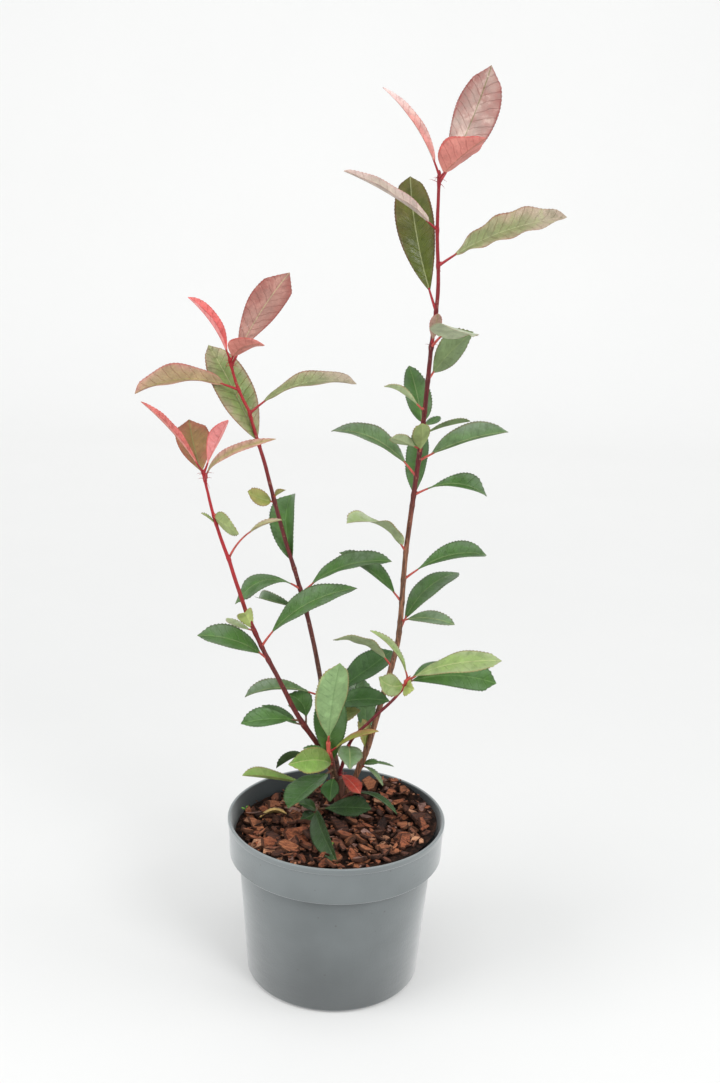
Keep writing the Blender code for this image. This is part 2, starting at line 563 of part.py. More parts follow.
def main():
    clear_scene()
    plant = new_collection("photinia")
    cutters = new_collection("cutters")
    plastic = paint("pot_plastic", (0.33, 0.35, 0.34), 0.55)
    mulch = paint("bark_mulch", (0.17, 0.07, 0.04), 0.95)

    make_pot(plant, plastic)
    make_growing_mix(plant, mulch)

    trunk_radii = ([p[2] for p in TRUNK], [p[3] for p in TRUNK])
    trunk_low, trunk_high = TRUNK[0][2], TRUNK[-1][2]
    bark = paint("trunk", TONES["brown"], 0.8)
    limb("trunk", TRUNK, trunk_radii, trunk_low, trunk_high, plant, bark, step=TRUNK_STEP)
    seat = limb("trunk_clearance", TRUNK, trunk_radii, trunk_low, trunk_high, cutters, bark, CLEAR,
                TRUNK_STEP)
    grow_top(seat.data, trunk_high)
    seat.hide_render = True
    seat.display_type = "WIRE"

    limbs = [
        ("bough_tall_foot", TALL, TALL_RADII, 126, 158, "brown"),
        ("bough_tall", TALL, TALL_RADII, 194, 236, "brown"),
        ("bough_middle_foot", MIDDLE, MIDDLE_RADII, 150, 186, "brown"),
        ("bough_middle", MIDDLE, MIDDLE_RADII, 226, 278, "brown"),
        ("bough_left_foot", LEFT, LEFT_RADII, 150, 194, "brown"),
        ("bough_left", LEFT, LEFT_RADII, 212, 246, "maroon"),
        ("bough_right", RIGHT, RIGHT_RADII, 191, 232, "red"),
    ]
    for name, route, radii, low, high, tone in limbs:
        on_trunk = low == route[0][2]
        bark = paint(name, TONES[tone], 0.7)
        piece = limb(name, route, radii, low + CLEAR * (not on_trunk), high, plant, bark)
        if on_trunk:
            cut_by(piece, seat)

    masses = [
        ("foliage_tall_foot", TALL, TALL_RADII, 158, 194, TALL_FOOT, "green"),
        ("foliage_tall_lower", TALL, TALL_RADII, 236, 346, TALL_LOWER, "green"),
        ("foliage_tall_middle", TALL, TALL_RADII, 346, 452, TALL_MIDDLE, "green"),
        ("foliage_tall_upper", TALL, TALL_RADII, 452, 532, TALL_UPPER, "sage"),
        ("foliage_tall_top", TALL, TALL_RADII, 532, 611, TALL_TOP, "rose"),
        ("foliage_middle_base", MIDDLE, MIDDLE_RADII, 186, 226, MIDDLE_BASE, "green"),
        ("foliage_middle_lower", MIDDLE, MIDDLE_RADII, 278, 338, MIDDLE_LOWER, "green"),
        ("foliage_middle_upper", MIDDLE, MIDDLE_RADII, 338, 392, MIDDLE_UPPER, "bronze"),
        ("foliage_middle_top", MIDDLE, MIDDLE_RADII, 392, 477, MIDDLE_TOP, "bronze"),
        ("foliage_left_base", LEFT, LEFT_RADII, 194, 212, LEFT_BASE, "green"),
        ("foliage_left_lower", LEFT, LEFT_RADII, 246, 300, LEFT_LOWER, "green"),
        ("foliage_left_middle", LEFT, LEFT_RADII, 300, 378, LEFT_MIDDLE, "lime"),
        ("foliage_left_top", LEFT, LEFT_RADII, 378, 401, LEFT_TOP, "bronze"),
        ("foliage_right_low", RIGHT, RIGHT_RADII, 152, 191, RIGHT_LOW, "sage"),
        ("foliage_right", RIGHT, RIGHT_RADII, 232, 245, RIGHT_TIP, "lime"),
        ("foliage_front", FRONT, FRONT_RADII, 150, 188, FRONT_LEAVES, "sage"),
        ("foliage_foot_left", FOOT_LEFT, TWIG_RADII, 136, 146, FOOT_LEFT_LEAVES, "green"),
        ("foliage_foot_right", FOOT_RIGHT, TWIG_RADII, 131, 143, FOOT_RIGHT_LEAVES, "sage"),
        ("foliage_sprout", SPROUT, TWIG_RADII, SPROUT[0][2], 131, SPROUT_LEAVES, "deep"),
    ]
    for name, route, radii, low, high, leaves, tone in masses:
        own_foot = low == route[0][2]
        on_trunk = own_foot and route is not SPROUT
        foliage(name, route, radii, low + CLEAR * (not own_foot), high, leaves, plant,
                paint(name, TONES[tone], 0.45), seat if on_trunk else None)


main()
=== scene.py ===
import math
from collections import namedtuple

import bpy
import numpy as np
from mathutils import Matrix, Vector, noise


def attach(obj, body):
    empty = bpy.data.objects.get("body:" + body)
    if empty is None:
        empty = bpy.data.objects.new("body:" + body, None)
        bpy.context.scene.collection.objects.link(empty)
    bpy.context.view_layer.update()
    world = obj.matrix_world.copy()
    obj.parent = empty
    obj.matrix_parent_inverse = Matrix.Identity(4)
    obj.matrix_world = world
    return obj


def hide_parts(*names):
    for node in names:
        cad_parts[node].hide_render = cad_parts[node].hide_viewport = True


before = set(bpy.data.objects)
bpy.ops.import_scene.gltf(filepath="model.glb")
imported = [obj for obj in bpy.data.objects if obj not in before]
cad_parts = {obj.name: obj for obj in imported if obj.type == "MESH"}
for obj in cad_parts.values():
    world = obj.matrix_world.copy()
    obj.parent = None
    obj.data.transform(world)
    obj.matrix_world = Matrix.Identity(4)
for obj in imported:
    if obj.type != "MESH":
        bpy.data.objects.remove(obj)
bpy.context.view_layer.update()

# Tables are in millimetres, meshes in metres. They repeat the part's own source.
MM = 0.001

CLEAR = 0.3

# Pot: outer sizes of a 17 cm nursery pot
POT_HEIGHT = 130.0
RIM_RADIUS = 83.6
FOOT_RADIUS = 66.7
FOOT_ROUND = 3.0
COLLAR_DROP = 29.0              # height of the wide band under the rim
COLLAR_FOOT_RADIUS = 81.9
NECK_RADIUS = 74.8              # body radius just under the collar
LIP_HEIGHT = 4.0
LIP_PROUD = 0.7
WALL = 2.3
FLOOR = 3.0

# Growing mix and its bark mulch
MIX_LEVEL = 120.6
MIX_SLOPE = (0.02, -0.045)      # rise along X and along Y: it lies higher on the right and in front
MIX_ROUGH = 0.7
FOOT_LEVEL = 121.3              # flat seat of the trunk

Leaf = namedtuple("Leaf", "up heading rise length width bend roll fold sway stalk peak twist tail tint",
                  defaults=(0.1, 0, 18, 0.0, 0.14, 0.55, 0, 0.78, "green"))

# Centre lines, foot to tip. Heights must rise all the way.
TRUNK = [(4.3, 22, FOOT_LEVEL + CLEAR, 7.5), (3.9, 22, 124.5, 5.6), (2.4, 22, 131, 4.8),
         (1.0, 21, 145, 4.9), (-0.5, 20, 153, 5.8), (-1.0, 19.5, 159, 4.6)]
TALL = [(3, 23, 126), (12, 25, 145), (23, 26, 176), (33, 28, 218), (43, 30, 263), (46, 32, 332),
        (51, 33, 388), (55, 34, 433), (58, 34, 487), (61, 34, 529), (58.5, 34, 570), (58, 34, 611)]
MIDDLE = [(0, 22, 150), (-1, 25, 160), (-7, 26, 182), (-11, 27, 202), (-20, 28, 253), (-32, 29, 300),
          (-48, 30, 352), (-61, 31, 399), (-73, 31, 438), (-82, 32, 456), (-88, 32, 477)]
LEFT = [(-2, 19, 150), (-6, 18, 161), (-13, 16, 175), (-32, 12, 207), (-45, 10, 233), (-60, 7, 264),
        (-72, 4, 293), (-84, 0, 333), (-93, -3, 360), (-99, -6, 385), (-102, -8, 401)]
RIGHT = [(0, 18, 152), (3, 14, 164), (10, 10, 189), (27, 7, 210), (44, 3, 231), (51.5, 0, 245)]
FRONT = [(-2, 17, 150), (-3, 12, 160), (-5, 10, 172), (-7.5, 8.5, 180), (-8, 8, 188)]
FOOT_LEFT = [(0, 20.5, 136), (-6, 18.3, 141), (-12, 17, 146)]
FOOT_RIGHT = [(1.5, 21, 131), (7, 16, 137.5), (12, 12, 143)]
SPROUT = [(-16, 13, FOOT_LEVEL + CLEAR), (-16, 12.5, 125.5), (-15, 12, 131)]

TALL_FOOT = [
    Leaf(166, 98, 66, 64, 22, 0.06, -35, 5, peak=0.65, tail=0.85, tint="dark"),
    Leaf(171, 128, 70, 28, 13, 0.1, 0, 20, tint="amber"),
    Leaf(161, -26, 17, 16, 7, 0.06, -20, 15, tint="green"),
    Leaf(160, -46, -17, 27, 5, 0.15, 0, 20, tint="sage"),
    Leaf(163, 7, -10, 26, 4, 0.05, -5, 15, tint="green"),
]
TALL_LOWER = [
    Leaf(242, -151, 30, 60, 16, 0.12, -30, 10, 0.06, peak=0.6, tail=0.65, tint="grey"),
    Leaf(270, 39, 32, 71, 22, 0.18, -5, 5, tail=0.7, tint="green"),
    Leaf(279, -29, 8, 46, 14, 0.11, -25, 15, tint="sage"),
    Leaf(294, 168, 35, 61, 23, 0.07, 10, 20, -0.02, tint="green"),
    Leaf(312, 20, 12, 70, 21, 0.17, -25, 25, peak=0.65, tint="green"),
    Leaf(334, -142, 28, 65, 23, 0.15, 0, 20, -0.05, stalk=0.08, twist=20, tail=0.5, tint="grey"),
]
TALL_MIDDLE = [
    Leaf(370, 84, 43, 75, 22, -0.04, 35, 15, tint="dark"),
    Leaf(378, 12, -2, 57, 21, 0.22, -30, 25, peak=0.7, tint="green"),
    Leaf(392, 160, 22, 74, 22, 0.21, 20, 20, 0.04, tint="sage"),
    Leaf(404, 16, 16, 73, 25, 0.1, -20, 30, -0.04, tail=0.7, tint="sage"),
    Leaf(410, -91, 51, 34, 14, -0.02, -15, 20, 0.02, tint="lime"),
    Leaf(413, -131, 21, 36, 11, 0.07, -45, 20, -0.03, tint="grey"),
    Leaf(427, 105, 46, 58, 20, -0.04, 5, 15, -0.04, peak=0.45, tail=0.7, tint="green"),
    Leaf(424, 25, 11, 41, 10, 0.04, 40, 20, tint="sage"),
    Leaf(431, 57, 8, 24, 8, -0.07, -10, 15, -0.02, tint="dark"),
    Leaf(441, -143, 29, 44, 8, 0.15, -30, 35, -0.06, tint="grey"),
]
TALL_UPPER = [
    Leaf(464, 38, 38, 54, 28, 0.06, 80, 10, tail=0.85, tint="sage"),
    Leaf(488, -63, 15, 58, 32, 0.15, 15, 0, -0.02, stalk=0.22, peak=0.4, tint="frost"),
    Leaf(489, -78, 60, 29, 9, 0.04, 10, 20, stalk=0.2, tint="copper"),
    Leaf(514, 125, 68, 100, 29, 0.08, 35, 20, 0.04, peak=0.6, tail=0.65, tint="olive"),
]
TALL_TOP = [
    Leaf(546, -18, 23, 97, 27, 0.07, -45, 20, 0.02, tint="bronzed"),
    Leaf(571, -166, 29, 79, 13, 0.085, 36, 44, 0.06, stalk=0.12, peak=0.45, tail=0.5, tint="beige"),
    Leaf(603, 44, 59, 95, 33, -0.11, -60, 15, -0.06, peak=0.6, tail=0.65, tint="mauve"),
    Leaf(606, -55, 30, 55, 31, 0, 15, 30, -0.04, peak=0.45, tail=1, tint="salmon"),
    Leaf(608, 177, 54, 71, 12, 0.08, 30, 30, peak=0.45, tint="rose"),
]
MIDDLE_BASE = [
    Leaf(214, 40, 20, 74, 26, 0.03, -15, 20, -0.03, peak=0.6, tail=0.8, tint="forest"),
    Leaf(210, 62, -8, 62, 22, 0.1, -10, 20, tint="dark"),
    Leaf(205, -20, 18, 55, 20, 0.13, -30, 15, tint="forest"),
    Leaf(191, -14, 35, 31, 16, 0.1, -35, 15, tint="amber"),
    Leaf(196, 80, 10, 62, 22, 0.15, 5, 20, tint="dark"),
    Leaf(216, 165, -8, 65, 17, 0.15, 20, 30, peak=0.65, tail=0.65, tint="sage"),
]
MIDDLE_LOWER = [
    Leaf(285, 143, 0, 48, 13, 0.23, 32, 50, 0.135, peak=0.58, tail=0.63, tint="sage"),
    Leaf(299, -6, 24, 74, 22, 0.13, -20, 20, 0.02, tail=0.7, tint="green"),
    Leaf(303, -166, -11, 50.5, 24, 0.3, 13, 2, 0.01, stalk=0.1, peak=0.69, tail=0.69, tint="green"),
    Leaf(319, 97, 48, 63, 25, 0.18, 33, 32, -0.01, stalk=0.09, peak=0.59, tail=0.52, tint="dark"),
]
MIDDLE_UPPER = [
    Leaf(370, -144, 25, 26, 12.5, -0.1, 63, 12, 0.01, stalk=0.11, peak=0.46, tail=0.65, tint="amber"),
    Leaf(373, -58, 30, 20, 6, 0.07, 15, 20, tint="amber"),
]
MIDDLE_TOP = [
    Leaf(413, 155, 58, 82, 30, 0.05, 35, 10, stalk=0.05, tail=0.7, tint="moss"),
    Leaf(436, 3, 17, 81, 22, 0.15, -20, 20, peak=0.6, tail=0.65, tint="bronzed"),
    Leaf(453, 180, -4, 76, 23, 0.14, 35, 35, -0.03, tail=0.6, tint="copper"),
    Leaf(470, 31, 55, 81, 32, 0.03, -25, 5, 0.02, peak=0.65, tail=0.55, tint="plum"),
    Leaf(474, -161, 56, 55, 14, 0.08, 35, 50, tail=0.7, tint="coral"),
    Leaf(473, -53, 22, 48, 21, 0.08, 20, 15, -0.09, peak=0.5, tail=0.85, tint="salmon"),
]
LEFT_BASE = [
    Leaf(202, -160, 4, 48, 20, 0.08, 25, 20, peak=0.6, tail=0.95, tint="dark"),
    Leaf(199, 141, 4, 44, 17, -0.07, -10, 35, tail=0.85, tint="dark"),
    Leaf(197, 126, 34, 31, 20, 0.1, 25, 15, -0.2, stalk=0.2, peak=0.6, tint="dark"),
]
LEFT_LOWER = [
    Leaf(253, -172, 21, 57, 24, 0.13, 25, 15, tail=0.7, tint="green"),
    Leaf(264, 9, 32, 84, 26, 0.19, -20, 15, -0.05, tail=0.95, tint="green"),
    Leaf(274, -109, 49, 31, 13, 0.17, -45, 25, tint="lemon"),
    Leaf(277, 135, 2, 32, 9, -0.03, 0, 10, 0.05, tint="grey"),
]
LEFT_MIDDLE = [
    Leaf(334, -5, 39, 50, 8, 0.14, -10, 25, stalk=0.5, tint="sand"),
    Leaf(367, -47, -13, 30, 16, 0, 75, 10, 0.02, stalk=0.05, peak=0.35, tail=0.9, tint="lime"),
    Leaf(361, -160, 38, 14, 4, 0.04, 20, 20, tint="lime"),
]
LEFT_TOP = [
    Leaf(395, 110, 34, 60, 27, -0.04, 10, 25, 0.02, peak=0.6, tail=0.6, tint="bronze"),
    Leaf(398.3, -172, 50, 68, 9, 0.05, 25, 50, tint="salmon"),
    Leaf(399, -38, 61, 48, 15, 0.06, 10, 30, 0.03, peak=0.6, tail=0.9, tint="coral"),
    Leaf(394, -22, 33, 66, 8, 0.26, -60, 25, -0.03, tint="copper"),
]
RIGHT_LOW = [
    Leaf(183, -87, -12, 29, 19, 0.15, 5, 15, stalk=0.06, peak=0.6, tail=0.55, tint="sage"),
    Leaf(156, -62, 0, 36, 11, 0.11, -25, 15, 0.02, peak=0.7, tail=0.55, tint="red"),
]
RIGHT_TIP = [
    Leaf(243, -173, 53, 50, 10, 0.13, 20, 25, 0.02, tint="lime"),
    Leaf(242, -22, 22, 77.5, 21, 0.155, -30, 4, -0.055, stalk=0.1, peak=0.67, tail=0.6, tint="lime"),
    Leaf(241, 3, 0, 68, 19, -0.06, -65, 4, 0.09, stalk=0.05, peak=0.7, tail=0.4, tint="dark"),
    Leaf(240, -142, 23, 29, 17, -0.04, 70, 15, 0.14, stalk=0.1, tail=0.65, tint="lime"),
    Leaf(243, 49, 5, 41, 12, 0.07, 4, 11, -0.07, stalk=0.09, peak=0.59, tail=0.7, tint="dark"),
    Leaf(239, -64, 7, 14, 13, 0.03, -65, 15, -0.08, stalk=0.05, tail=0.65, tint="lemon"),
]
FRONT_LEAVES = [
    Leaf(186, -67, 76, 75, 27, -0.02, 0, 15, -0.03, stalk=0.08, peak=0.6, tail=0.7, tint="pale"),
    Leaf(178, -18, 32, 46, 11, 0.07, -10, 20, tint="rust"),
    Leaf(167, -134, 18, 50, 23, 0.09, 70, 35, -0.07, stalk=0.06, peak=0.65, tail=0.55, tint="fresh"),
    Leaf(160, 60, 95, 70, 25, 0, -30, 3, 0.03, peak=0.6, tail=0.6, tint="dark"),
    Leaf(163, -118, -3, 68, 27, 0.03, -10, 20, tint="forest"),
    Leaf(177, 180, 10, 21, 4, 0.15, 10, 20, tint="dark"),
    Leaf(157, -101, -50, 21, 16, 0.09, -15, 15, tint="forest"),
]
FOOT_LEFT_LEAVES = [
    Leaf(145, -148, 20, 76, 16, 0, 10, 40, -0.02, peak=0.7, tail=0.9, tint="fresh"),
    Leaf(146, 135, -5, 54, 18, 0.3, -25, 20, -0.02, tint="deep"),
]
FOOT_RIGHT_LEAVES = [
    Leaf(141, -35, -4, 44, 8, 0.17, 5, 20, -0.03, tint="deep"),
]
SPROUT_LEAVES = [
    Leaf(128.5, -77, -3, 80, 19, 0.12, -60, 25, 0.06, tail=0.95, tint="deep"),
    Leaf(127.5, -19, 12, 46, 21, 0.05, -25, 10, peak=0.65, tint="deep"),
    Leaf(126.5, -139, 34, 22, 10, 0.17, 45, 20, 0.06, tail=0.6, tint="deep"),
    Leaf(125, -134, -2, 17, 10, 0.1, 45, 20, 0.05, peak=0.6, tail=0.65, tint="deep"),
]


# Linear light that the sheen of a leaf adds to its own colour in this room
SHEEN = 0.022


def spline(route, height):
    """Point of a smooth curve through the route's points at a given height, straight past its ends."""
    pts = [Vector(p[:3]) for p in route]
    if height <= pts[0].z:
        return pts[0] + (pts[1] - pts[0]) * (height - pts[0].z) / (pts[1].z - pts[0].z)
    if height >= pts[-1].z:
        return pts[-1] + (pts[-1] - pts[-2]) * (height - pts[-1].z) / (pts[-1].z - pts[-2].z)
    i = max(k for k in range(len(pts) - 1) if pts[k].z <= height)
    low, high = pts[i], pts[i + 1]
    before = pts[i - 1] if i else low * 2 - high
    after = pts[i + 2] if i + 2 < len(pts) else high * 2 - low
    t = (height - low.z) / (high.z - low.z)
    point = 0.5 * (2 * low + (high - before) * t + (2 * before - 5 * low + 4 * high - after) * t * t
                   + (3 * low - before - 3 * high + after) * t ** 3)
    return Vector((point.x, point.y, height))


def linear(red, green, blue):
    """A colour given as seen on screen, 0 to 255, as linear light."""
    out = []
    for value in (red, green, blue):
        v = value / 255
        out.append(v / 12.92 if v <= 0.04045 else ((v + 0.055) / 1.055) ** 2.4)
    return (*out, 1.0)


class Nodes:
    """Short calls for building a material's node tree."""

    def __init__(self, name):
        self.material = bpy.data.materials.new(name)
        self.material.use_nodes = True
        self.tree = self.material.node_tree
        self.shader = self.tree.nodes["Principled BSDF"]

    def add(self, kind, **values):
        node = self.tree.nodes.new(kind)
        for key, value in values.items():
            setattr(node, key, value)
        return node

    def link(self, source, target):
        self.tree.links.new(source, target)

    def put(self, socket, value):
        if isinstance(value, bpy.types.NodeSocket):
            self.link(value, socket)
        else:
            socket.default_value = value

    def math(self, operation, a, b=0.0, c=0.0):
        node = self.add("ShaderNodeMath", operation=operation)
        for socket, value in zip(node.inputs, (a, b, c)):
            self.put(socket, value)
        return node.outputs[0]

    def step(self, value, low, high, out_low=0.0, out_high=1.0):
        node = self.add("ShaderNodeMapRange", interpolation_type="SMOOTHSTEP")
        for socket, item in zip(node.inputs, (value, low, high, out_low, out_high)):
            self.put(socket, item)
        return node.outputs[0]

    def mix(self, share, a, b, blend="MIX"):
        node = self.add("ShaderNodeMix", data_type="RGBA", blend_type=blend)
        self.put(node.inputs["Factor"], share)
        self.put(node.inputs["A"], a)
        self.put(node.inputs["B"], b)
        return node.outputs["Result"]

    def noise(self, where, scale, detail=3.0, rough=0.55, stretch=None):
        if stretch:
            where = self.stretch(where, stretch)
        node = self.add("ShaderNodeTexNoise")
        self.link(where, node.inputs["Vector"])
        node.inputs["Scale"].default_value = scale
        node.inputs["Detail"].default_value = detail
        node.inputs["Roughness"].default_value = rough
        return node.outputs["Fac"]

    def stretch(self, where, scale):
        node = self.add("ShaderNodeMapping")
        self.link(where, node.inputs["Vector"])
        node.inputs["Scale"].default_value = scale
        return node.outputs["Vector"]

    def cells(self, where, scale, feature="F1"):
        node = self.add("ShaderNodeTexVoronoi", feature=feature)
        self.link(where, node.inputs["Vector"])
        node.inputs["Scale"].default_value = scale
        return node

    def place(self):
        return self.add("ShaderNodeTexCoord").outputs["Object"]

    def map(self):
        return self.add("ShaderNodeTexCoord").outputs["UV"]

    def bump(self, height, strength, distance, under=None):
        node = self.add("ShaderNodeBump")
        self.link(height, node.inputs["Height"])
        node.inputs["Strength"].default_value = strength
        node.inputs["Distance"].default_value = distance
        if under is not None:
            self.link(under, node.inputs["Normal"])
        return node.outputs["Normal"]

    def finish(self, colour, roughness, normal=None, **fixed):
        self.put(self.shader.inputs["Base Color"], colour)
        self.put(self.shader.inputs["Roughness"], roughness)
        if normal is not None:
            self.link(normal, self.shader.inputs["Normal"])
        for key, value in fixed.items():
            self.shader.inputs[key.replace("_", " ")].default_value = value
        return self.material


# Tints of leaves as seen on screen: middle, edge and tip (on green leaves a painted bluish sheen), underside, rib,
# margin and stalk
TINTS = {
    "deep": ((56, 80, 46), (72, 92, 64), (96, 120, 82), (88, 112, 72), (48, 66, 40), "brown"),
    "forest": ((64, 98, 50), (84, 112, 74), (100, 128, 84), (96, 126, 76), (58, 80, 46), "brown"),
    "dark": ((80, 117, 57), (104, 133, 93), (120, 147, 97), (110, 143, 86), (70, 95, 52), "brown"),
    "green": ((80, 116, 60), (108, 128, 100), (116, 140, 100), (124, 144, 96), (80, 94, 56), "coral"),
    "sage": ((102, 130, 86), (130, 146, 124), (120, 138, 96), (149, 159, 112), (119, 111, 78), "coral"),
    "grey": ((145, 168, 104), (177, 188, 152), (169, 182, 140), (173, 179, 130), (165, 133, 98), "coral"),
    "frost": ((164, 178, 138), (178, 186, 160), (188, 196, 164), (182, 190, 150), (170, 146, 118), "coral"),
    "lemon": ((181, 199, 105), (189, 201, 125), (191, 205, 129), (196, 205, 142), (172, 153, 96), "coral"),
    "lime": ((143, 167, 100), (159, 171, 128), (157, 171, 114), (177, 185, 131), (151, 125, 85), "coral"),
    "fresh": ((130, 168, 84), (156, 176, 108), (162, 182, 114), (178, 188, 124), (150, 120, 76), "coral"),
    "pale": ((129, 162, 103), (141, 168, 117), (159, 190, 135), (109, 138, 87), (171, 144, 103), "coral"),
    "olive": ((88, 98, 36), (108, 100, 60), (132, 128, 92), (164, 168, 124), (100, 50, 38), "red"),
    "bronzed": ((136, 146, 100), (184, 162, 140), (168, 160, 124), (170, 172, 130), (148, 86, 70), "red"),
    "moss": ((132, 152, 92), (178, 162, 136), (164, 164, 120), (174, 176, 130), (142, 80, 64), "red"),
    "amber": ((143, 155, 85), (179, 167, 109), (179, 175, 117), (160, 168, 107), (148, 100, 69), "coral"),
    "rust": ((152, 164, 80), (176, 128, 96), (172, 168, 108), (176, 170, 108), (164, 82, 64), "red"),
    "sand": ((176, 176, 128), (192, 172, 152), (188, 180, 144), (170, 172, 114), (174, 122, 98), "coral"),
    "copper": ((168, 148, 112), (200, 148, 140), (188, 158, 142), (160, 150, 96), (182, 92, 88), "red"),
    "bronze": ((150, 125, 85), (170, 105, 89), (186, 143, 117), (138, 140, 91), (158, 78, 65), "red"),
    "mauve": ((206, 188, 176), (166, 110, 104), (196, 162, 150), (132, 130, 88), (140, 62, 58), "red"),
    "plum": ((172, 132, 120), (152, 94, 86), (178, 136, 124), (176, 166, 128), (150, 72, 66), "red"),
    "beige": ((201, 188, 172), (211, 186, 180), (207, 192, 180), (185, 166, 130), (191, 140, 128), "red"),
    "rose": ((214, 148, 140), (224, 204, 192), (220, 196, 182), (205, 120, 108), (199, 96, 90), "red"),
    "salmon": ((214, 125, 116), (232, 141, 134), (222, 147, 136), (160, 119, 88), (206, 81, 78), "red"),
    "coral": ((243, 123, 121), (237, 143, 137), (249, 159, 157), (216, 98, 92), (206, 80, 78), "red"),
    "red": ((184, 74, 64), (166, 92, 78), (190, 92, 84), (196, 116, 102), (142, 50, 50), "red"),
    "weed": ((104, 160, 62), (128, 176, 84), (120, 168, 84), (130, 176, 90), (96, 146, 60), "coral"),
    "dry": ((200, 172, 108), (176, 132, 80), (190, 164, 110), (170, 130, 84), (132, 92, 58), "brown"),
}
STALKS = {"brown": (122, 92, 66), "coral": (190, 84, 74), "red": (166, 44, 50)}
YOUNG = ("bronzed", "moss", "copper", "bronze", "mauve", "plum", "rose", "salmon", "coral", "red", "rust", "beige")
# Leaves whose tip fades to another tone
TIPPED = {"bronzed": (176, 160, 144), "rose": (238, 214, 210)}
WAVY = {"grey": 4, "frost": 4, "lime": 3, "bronzed": 5, "salmon": 3, "copper": 5, "sand": 3, "beige": 3, "dry": 3}


def vein_lines(n, spacing=0.62, forward=0.95):
    """Side veins of a leaf, from a map in centimetres along and across the blade."""
    parts = n.add("ShaderNodeSeparateXYZ")
    n.link(n.map(), parts.inputs[0])
    across = n.math("ABSOLUTE", parts.outputs["Y"])
    wobble = n.noise(n.map(), 1.3, 1.0)
    curve = n.math("MULTIPLY", n.math("MULTIPLY", across, across), 0.22)
    along = n.math("SUBTRACT", parts.outputs["X"], n.math("MULTIPLY", across, forward))
    along = n.math("ADD", n.math("ADD", along, curve), n.math("MULTIPLY", wobble, 0.3))
    wave = n.math("PINGPONG", along, spacing / 2)
    return n.step(wave, 0.0, 0.05, 1.0, 0.0), across


def leaf_tone(tone, gain=1.0):
    """Base colour of a leaf: the tone on screen less the sheen that the bright room lays over it."""
    return (*[max(0.002, (c - SHEEN) * gain) for c in linear(*[max(0, min(255, v)) for v in tone])[:3]], 1.0)


def leaf_material(tint, side):
    core, edge_and_sheen, under, rib, margin, _ = TINTS[tint]
    if side == "under":
        core, edge_and_sheen = under, [0.7 * a + 0.3 * b for a, b in zip(under, edge_and_sheen)]
        rib = [0.5 * a + 0.5 * b for a, b in zip(under, rib)]
    young = tint in YOUNG
    n = Nodes(f"leaf_{tint}_{side}")
    place = n.place()
    share = n.add("ShaderNodeAttribute", attribute_name="share")
    spots = n.add("ShaderNodeSeparateXYZ")
    n.link(share.outputs["Vector"], spots.inputs[0])
    ahead, out, chance = (spots.outputs[k] for k in ("X", "Y", "Z"))
    veins, across = vein_lines(n)
    cloud = n.noise(place, 42, 3.0)
    fine = n.noise(place, 420, 2.0)
    net = n.cells(n.map(), 9 if young else 12, "DISTANCE_TO_EDGE").outputs["Distance"]
    lines = n.step(net, 0.0, 0.1, 1.0, 0.0)

    # Towards the edges, the tip and in broad patches the tone moves to the edge tone: on young leaves their own edge
    # colour, on green leaves a painted pale bluish-grey sheen
    reach = n.math("ADD", n.math("MULTIPLY", n.math("MULTIPLY", out, out), 0.55), n.math("MULTIPLY", ahead, 0.45))
    reach = n.math("ADD", reach, n.math("MULTIPLY", n.math("SUBTRACT", cloud, 0.5), 1.6))
    tone = n.mix(n.step(reach, 0.1, 0.85), leaf_tone(core), leaf_tone(edge_and_sheen))
    dim = n.math("ADD", n.math("MULTIPLY", n.step(fine, 0.3, 0.75), 0.26), n.math("MULTIPLY", chance, 0.2))
    tone = n.mix(dim, tone, leaf_tone([0.8 * a + 0.05 * b for a, b in zip(core, edge_and_sheen)]))
    if young:
        vein_tone, strength = [0.62 * a + 0.3 * b for a, b in zip(margin, core)], 0.36
    else:
        vein_tone, strength = [0.5 * a + 0.5 * b for a, b in zip(core, rib)], 0.4
    tone = n.mix(n.math("MULTIPLY", lines, 0.5 * strength), tone, leaf_tone(vein_tone))
    tone = n.mix(n.math("MULTIPLY", veins, strength), tone, leaf_tone(vein_tone))
    tone = n.mix(n.step(across, 0.02, 0.06, 0.8, 0.0), tone, leaf_tone(rib))
    tone = n.mix(n.step(n.math("ADD", out, n.math("MULTIPLY", fine, 0.06)), 0.92, 1.0, 0.0, 0.6), tone,
                 leaf_tone(margin))
    if tint in TIPPED:
        tone = n.mix(n.step(ahead, 0.5, 0.95, 0.0, 0.75), tone, leaf_tone(TIPPED[tint]))
    mottle = n.noise(place, 120, 4.0, 0.6)
    tone = n.mix(n.step(mottle, 0.52, 0.66, 0.0, 0.3), tone, leaf_tone([1.22 * c for c in core]))
    tone = n.mix(n.step(mottle, 0.36, 0.48, 0.35, 0.0), tone, leaf_tone([0.74 * c for c in core]))
    speck = n.cells(place, 70).outputs["Distance"]
    tone = n.mix(n.step(speck, 0.03, 0.06, 0.5, 0.0), tone, leaf_tone([0.6 * c + 90 for c in core]))
    relief = n.math("ADD", n.math("MULTIPLY", lines, -0.3), n.math("MULTIPLY", veins, -1.0 if side == "upper" else 1.0))
    relief = n.math("ADD", relief, n.math("MULTIPLY", cloud, 3.2))
    normal = n.bump(relief, 0.6, 0.001, n.bump(fine, 0.15, 0.0003))
    rough = n.step(n.noise(place, 90, 3.0), 0.3, 0.7, 0.28, 0.46) if side == "upper" else 0.55
    return n.finish(tone, rough, normal, Specular_IOR_Level=0.4 if side == "upper" else 0.2)


def plain_material(name, tone, scale=300, rough=0.45):
    """A soft even tone with a fine grain, for ribs, edges and stalks."""
    n = Nodes(name)
    grain = n.noise(n.place(), scale)
    shade = n.mix(n.step(grain, 0.3, 0.7), linear(*[c * 0.84 for c in tone]), linear(*tone))
    return n.finish(shade, rough, n.bump(n.noise(n.place(), scale * 2.6), 0.2, 0.0004), Specular_IOR_Level=0.35)


